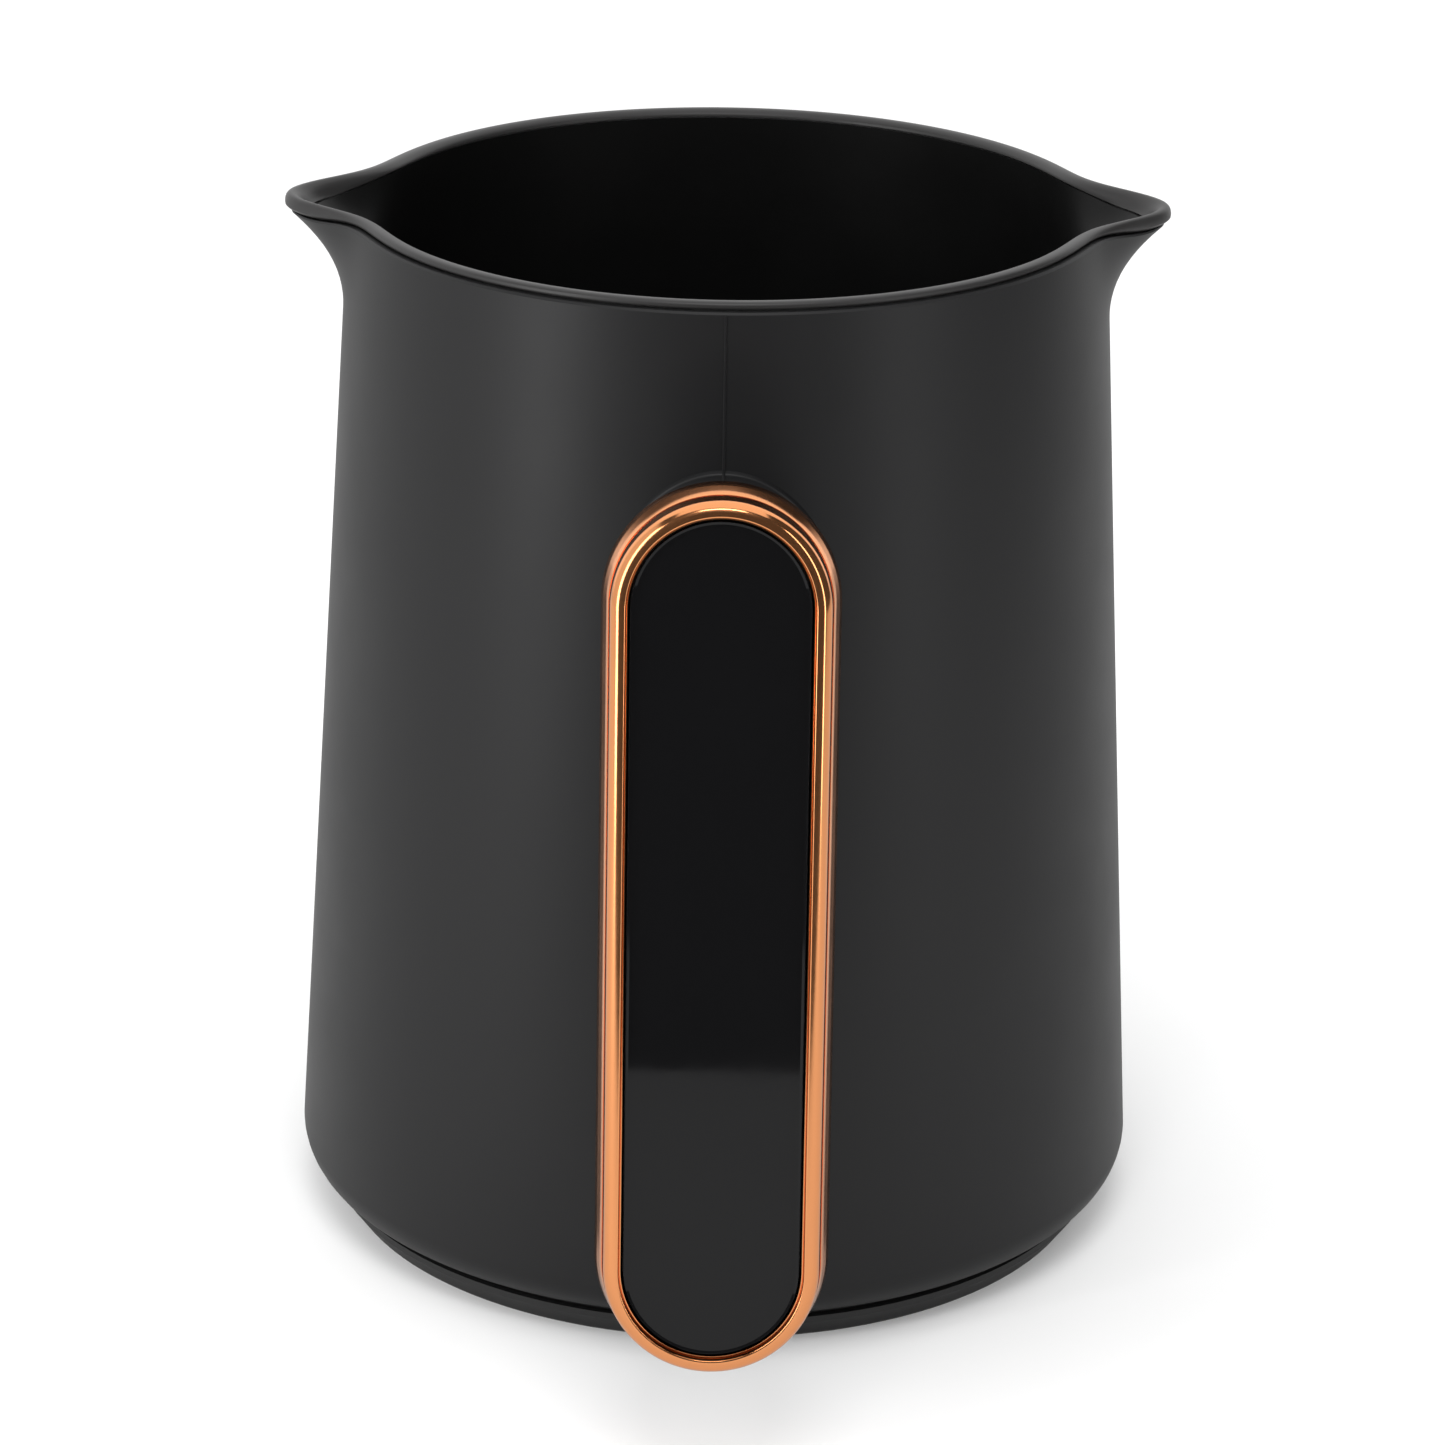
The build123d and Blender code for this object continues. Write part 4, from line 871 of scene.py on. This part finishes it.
class FROTHER_OT_whisk_coil(bpy.types.Operator):
    """Wind the whisk's spring from one wire"""

    bl_idname = "frother.whisk_coil"
    bl_label = "Whisk coil"

    def execute(self, context):
        sizes = context.scene.frother_sizes
        low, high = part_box("whisk_coil")
        minor = (high.z - low.z) / 2 - sizes.coil_wire / 2
        major = (high.x - low.x) / 2 - (high.z - low.z) / 2
        height = (high.z + low.z) / 2
        points = sizes.coil_turns * WIRE_POINTS
        wire = bpy.data.curves.new("whisk_spring", "CURVE")
        wire.dimensions = "3D"
        wire.bevel_depth = sizes.coil_wire / 2
        wire.bevel_resolution = 1
        run = wire.splines.new("POLY")
        run.points.add(points - 1)
        for at, point in enumerate(run.points):
            round_z = TURN * at / points
            wound = TURN * at / WIRE_POINTS
            reach = major + minor * cos(wound)
            point.co = (reach * cos(round_z), reach * sin(round_z), height + minor * sin(wound), 1.0)
        run.use_cyclic_u = True
        spring = bpy.data.objects.new("whisk_spring", wire)
        context.scene.collection.objects.link(spring)
        wire.materials.append(finishes["steel"])
        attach(spring, "whisk")
        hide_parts("whisk_coil")
        return {"FINISHED"}


class FROTHER_OT_inner_parts(bpy.types.Operator):
    """Give the parts that keep their modelled shape their real finishes"""

    bl_idname = "frother.inner_parts"
    bl_label = "Inner parts"

    def execute(self, context):
        for name, slot_name in NODE_FINISHES.items():
            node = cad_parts[name]
            node.data.materials.clear()
            node.data.materials.append(finishes[slot_name])
        return {"FINISHED"}


class FROTHER_OT_stage(bpy.types.Operator):
    """Set up the camera, the pale floor and the soft studio light"""

    bl_idname = "frother.stage"
    bl_label = "Stage"

    def camera(self, context):
        """Camera a little above the handle, tipped down and slightly rolled."""
        data = bpy.data.cameras.new("camera")
        data.sensor_width = SENSOR_WIDTH
        data.lens = LENS
        data.dof.use_dof = False
        camera = bpy.data.objects.new("camera", data)
        context.scene.collection.objects.link(camera)
        tip = radians(CAMERA_TIP)
        roll = radians(CAMERA_ROLL)
        ahead = Vector((0, cos(tip), -sin(tip)))
        level = Vector((0, sin(tip), cos(tip)))
        right = Vector((cos(roll), 0, 0)) + level * sin(roll)
        up = Vector((-sin(roll), 0, 0)) + level * cos(roll)
        axes = Matrix((right, up, -ahead)).transposed().to_4x4()
        camera.matrix_world = Matrix.Translation(CAMERA_PLACE) @ axes
        context.scene.camera = camera

    def softbox(self, context, name, power, size, place, aim):
        """Rectangular light turned to a point."""
        data = bpy.data.lights.new(name, "AREA")
        data.shape = "RECTANGLE"
        data.size, data.size_y = size
        data.energy = power
        light = bpy.data.objects.new(name, data)
        context.scene.collection.objects.link(light)
        light.location = place
        light.rotation_euler = (Vector(aim) - Vector(place)).to_track_quat("-Z", "Y").to_euler()

    def panel(self, context, name, material, size, matrix):
        """Flat stage panel."""
        mesh = bmesh.new()
        bmesh.ops.create_grid(mesh, x_segments=2, y_segments=2, size=0.5)
        bmesh.ops.scale(mesh, vec=(size[0], size[1], 1), verts=mesh.verts)
        bmesh.ops.transform(mesh, matrix=matrix, verts=mesh.verts)
        data = bpy.data.meshes.new(name)
        mesh.to_mesh(data)
        mesh.free()
        data.materials.append(material)
        piece = bpy.data.objects.new(name, data)
        context.scene.collection.objects.link(piece)
        return piece

    def card(self, context, name, material, size, matrix):
        """Panel that only shows in reflections."""
        piece = self.panel(context, name, material, size, matrix)
        piece.visible_camera = False
        piece.visible_diffuse = False
        piece.visible_transmission = False
        piece.visible_shadow = False

    def execute(self, context):
        studio = context.scene.frother_studio
        self.camera(context)
        world = bpy.data.worlds.new("white_surround")
        world.use_nodes = True
        surround = world.node_tree.nodes["Background"]
        surround.inputs["Color"].default_value = (1, 1, 1, 1)
        surround.inputs["Strength"].default_value = studio.sky
        context.scene.world = world
        context.scene.view_settings.view_transform = "Standard"
        floor_colour = context.scene.frother_colours.floor
        paper = finish("White paper sweep", floor_colour, 0.9, grain=1.0, depth=0.01, tint=0.005)
        self.panel(context, "floor", paper, (6.0, 6.0), Matrix.Identity(4))
        dark = bpy.data.materials.new("Charcoal felt card")
        dark.use_nodes = True
        felt = dark.node_tree.nodes["Principled BSDF"]
        felt.inputs["Base Color"].default_value = (0.07, 0.07, 0.07, 1)
        felt.inputs["Specular IOR Level"].default_value = 0.0
        grey = finish("Grey floor card", linear("#C8C8C8"), 0.95, grain=1.0, depth=0.01, tint=0.01)
        flat = Matrix.Identity(4)
        upright = Matrix.Rotation(pi / 2, 4, "X")
        sideways = Matrix.Rotation(pi / 2, 4, "Z") @ upright
        # Name, material, size, middle and turn of each card, in metres
        cards = (
            ("front_card", dark, (1.3, 1.2), (0, -0.388, 0.6), upright),
            ("left_card", dark, (0.62, 1.2), (-0.62, -0.11, 0.6), sideways),
            ("right_card", dark, (0.78, 1.2), (0.62, -0.03, 0.6), sideways),
            ("floor_card", grey, (1.3, 1.0), (0, 0.112, 0.0003), flat),
        )
        for name, material, size, middle, turn in cards:
            self.card(context, name, material, size, Matrix.Translation(middle) @ turn)
        # Name, power, size, place and aim of each light, in watts and metres
        right_power = studio.strips * RIGHT_SHARE
        boxes = (
            ("overhead", studio.key, (0.3, 0.16), (0.0, -0.40, 0.66), (0, -0.05, 0.07)),
            ("left_box", studio.fill, (0.5, 0.7), (-0.56, -0.08, 0.36), (0, -0.05, 0.36)),
            ("left_strip", studio.strips, (0.13, 0.5), (-0.36, -0.30, 0.26), (0, -0.05, 0.26)),
            ("right_strip", right_power, (0.06, 0.5), (0.37, -0.30, 0.26), (0, -0.05, 0.26)),
        )
        for name, power, size, place, aim in boxes:
            self.softbox(context, name, power, size, place, aim)
        return {"FINISHED"}


class FROTHER_PT_panel(bpy.types.Panel):
    """Lists the frother's settings and builders"""

    bl_label = "Milk frother"
    bl_idname = "FROTHER_PT_panel"
    bl_space_type = "VIEW_3D"
    bl_region_type = "UI"
    bl_category = "Frother"

    def draw(self, context):
        layout = self.layout
        for owner in GROUPS:
            group = getattr(context.scene, owner)
            box = layout.box()
            for name in group.bl_rna.properties.keys():
                if name not in {"rna_type", "name"}:
                    box.prop(group, name)
        for operator in OPERATORS:
            layout.operator(operator.bl_idname)


OPERATORS = (
    FROTHER_OT_stage,
    FROTHER_OT_jug_wall,
    FROTHER_OT_handle_grip,
    FROTHER_OT_parting_line,
    FROTHER_OT_handle_trim,
    FROTHER_OT_handle_inlay,
    FROTHER_OT_bowl,
    FROTHER_OT_lip,
    FROTHER_OT_whisk_coil,
    FROTHER_OT_inner_parts,
)
GROUPS = {
    "frother_sizes": FrotherSizes,
    "frother_colours": FrotherColours,
    "frother_studio": FrotherStudio,
}


def register():
    """Add the settings, operators and panel to Blender."""
    for group in GROUPS.values():
        bpy.utils.register_class(group)
    for operator in OPERATORS:
        bpy.utils.register_class(operator)
    bpy.utils.register_class(FROTHER_PT_panel)
    for name, group in GROUPS.items():
        setattr(bpy.types.Scene, name, PointerProperty(type=group))


def unregister():
    """Take them out again."""
    for name in GROUPS:
        delattr(bpy.types.Scene, name)
    bpy.utils.unregister_class(FROTHER_PT_panel)
    for operator in reversed(OPERATORS):
        bpy.utils.unregister_class(operator)
    for group in reversed(list(GROUPS.values())):
        bpy.utils.unregister_class(group)


def main():
    """Build everything."""
    register()
    finishes.update(make_finishes(bpy.context.scene.frother_colours))
    bpy.ops.frother.stage()
    bpy.ops.frother.jug_wall()
    bpy.ops.frother.handle_grip()
    bpy.ops.frother.parting_line()
    bpy.ops.frother.handle_trim()
    bpy.ops.frother.handle_inlay()
    bpy.ops.frother.bowl()
    bpy.ops.frother.lip()
    bpy.ops.frother.whisk_coil()
    bpy.ops.frother.inner_parts()


if __name__ == "__main__":
    main()
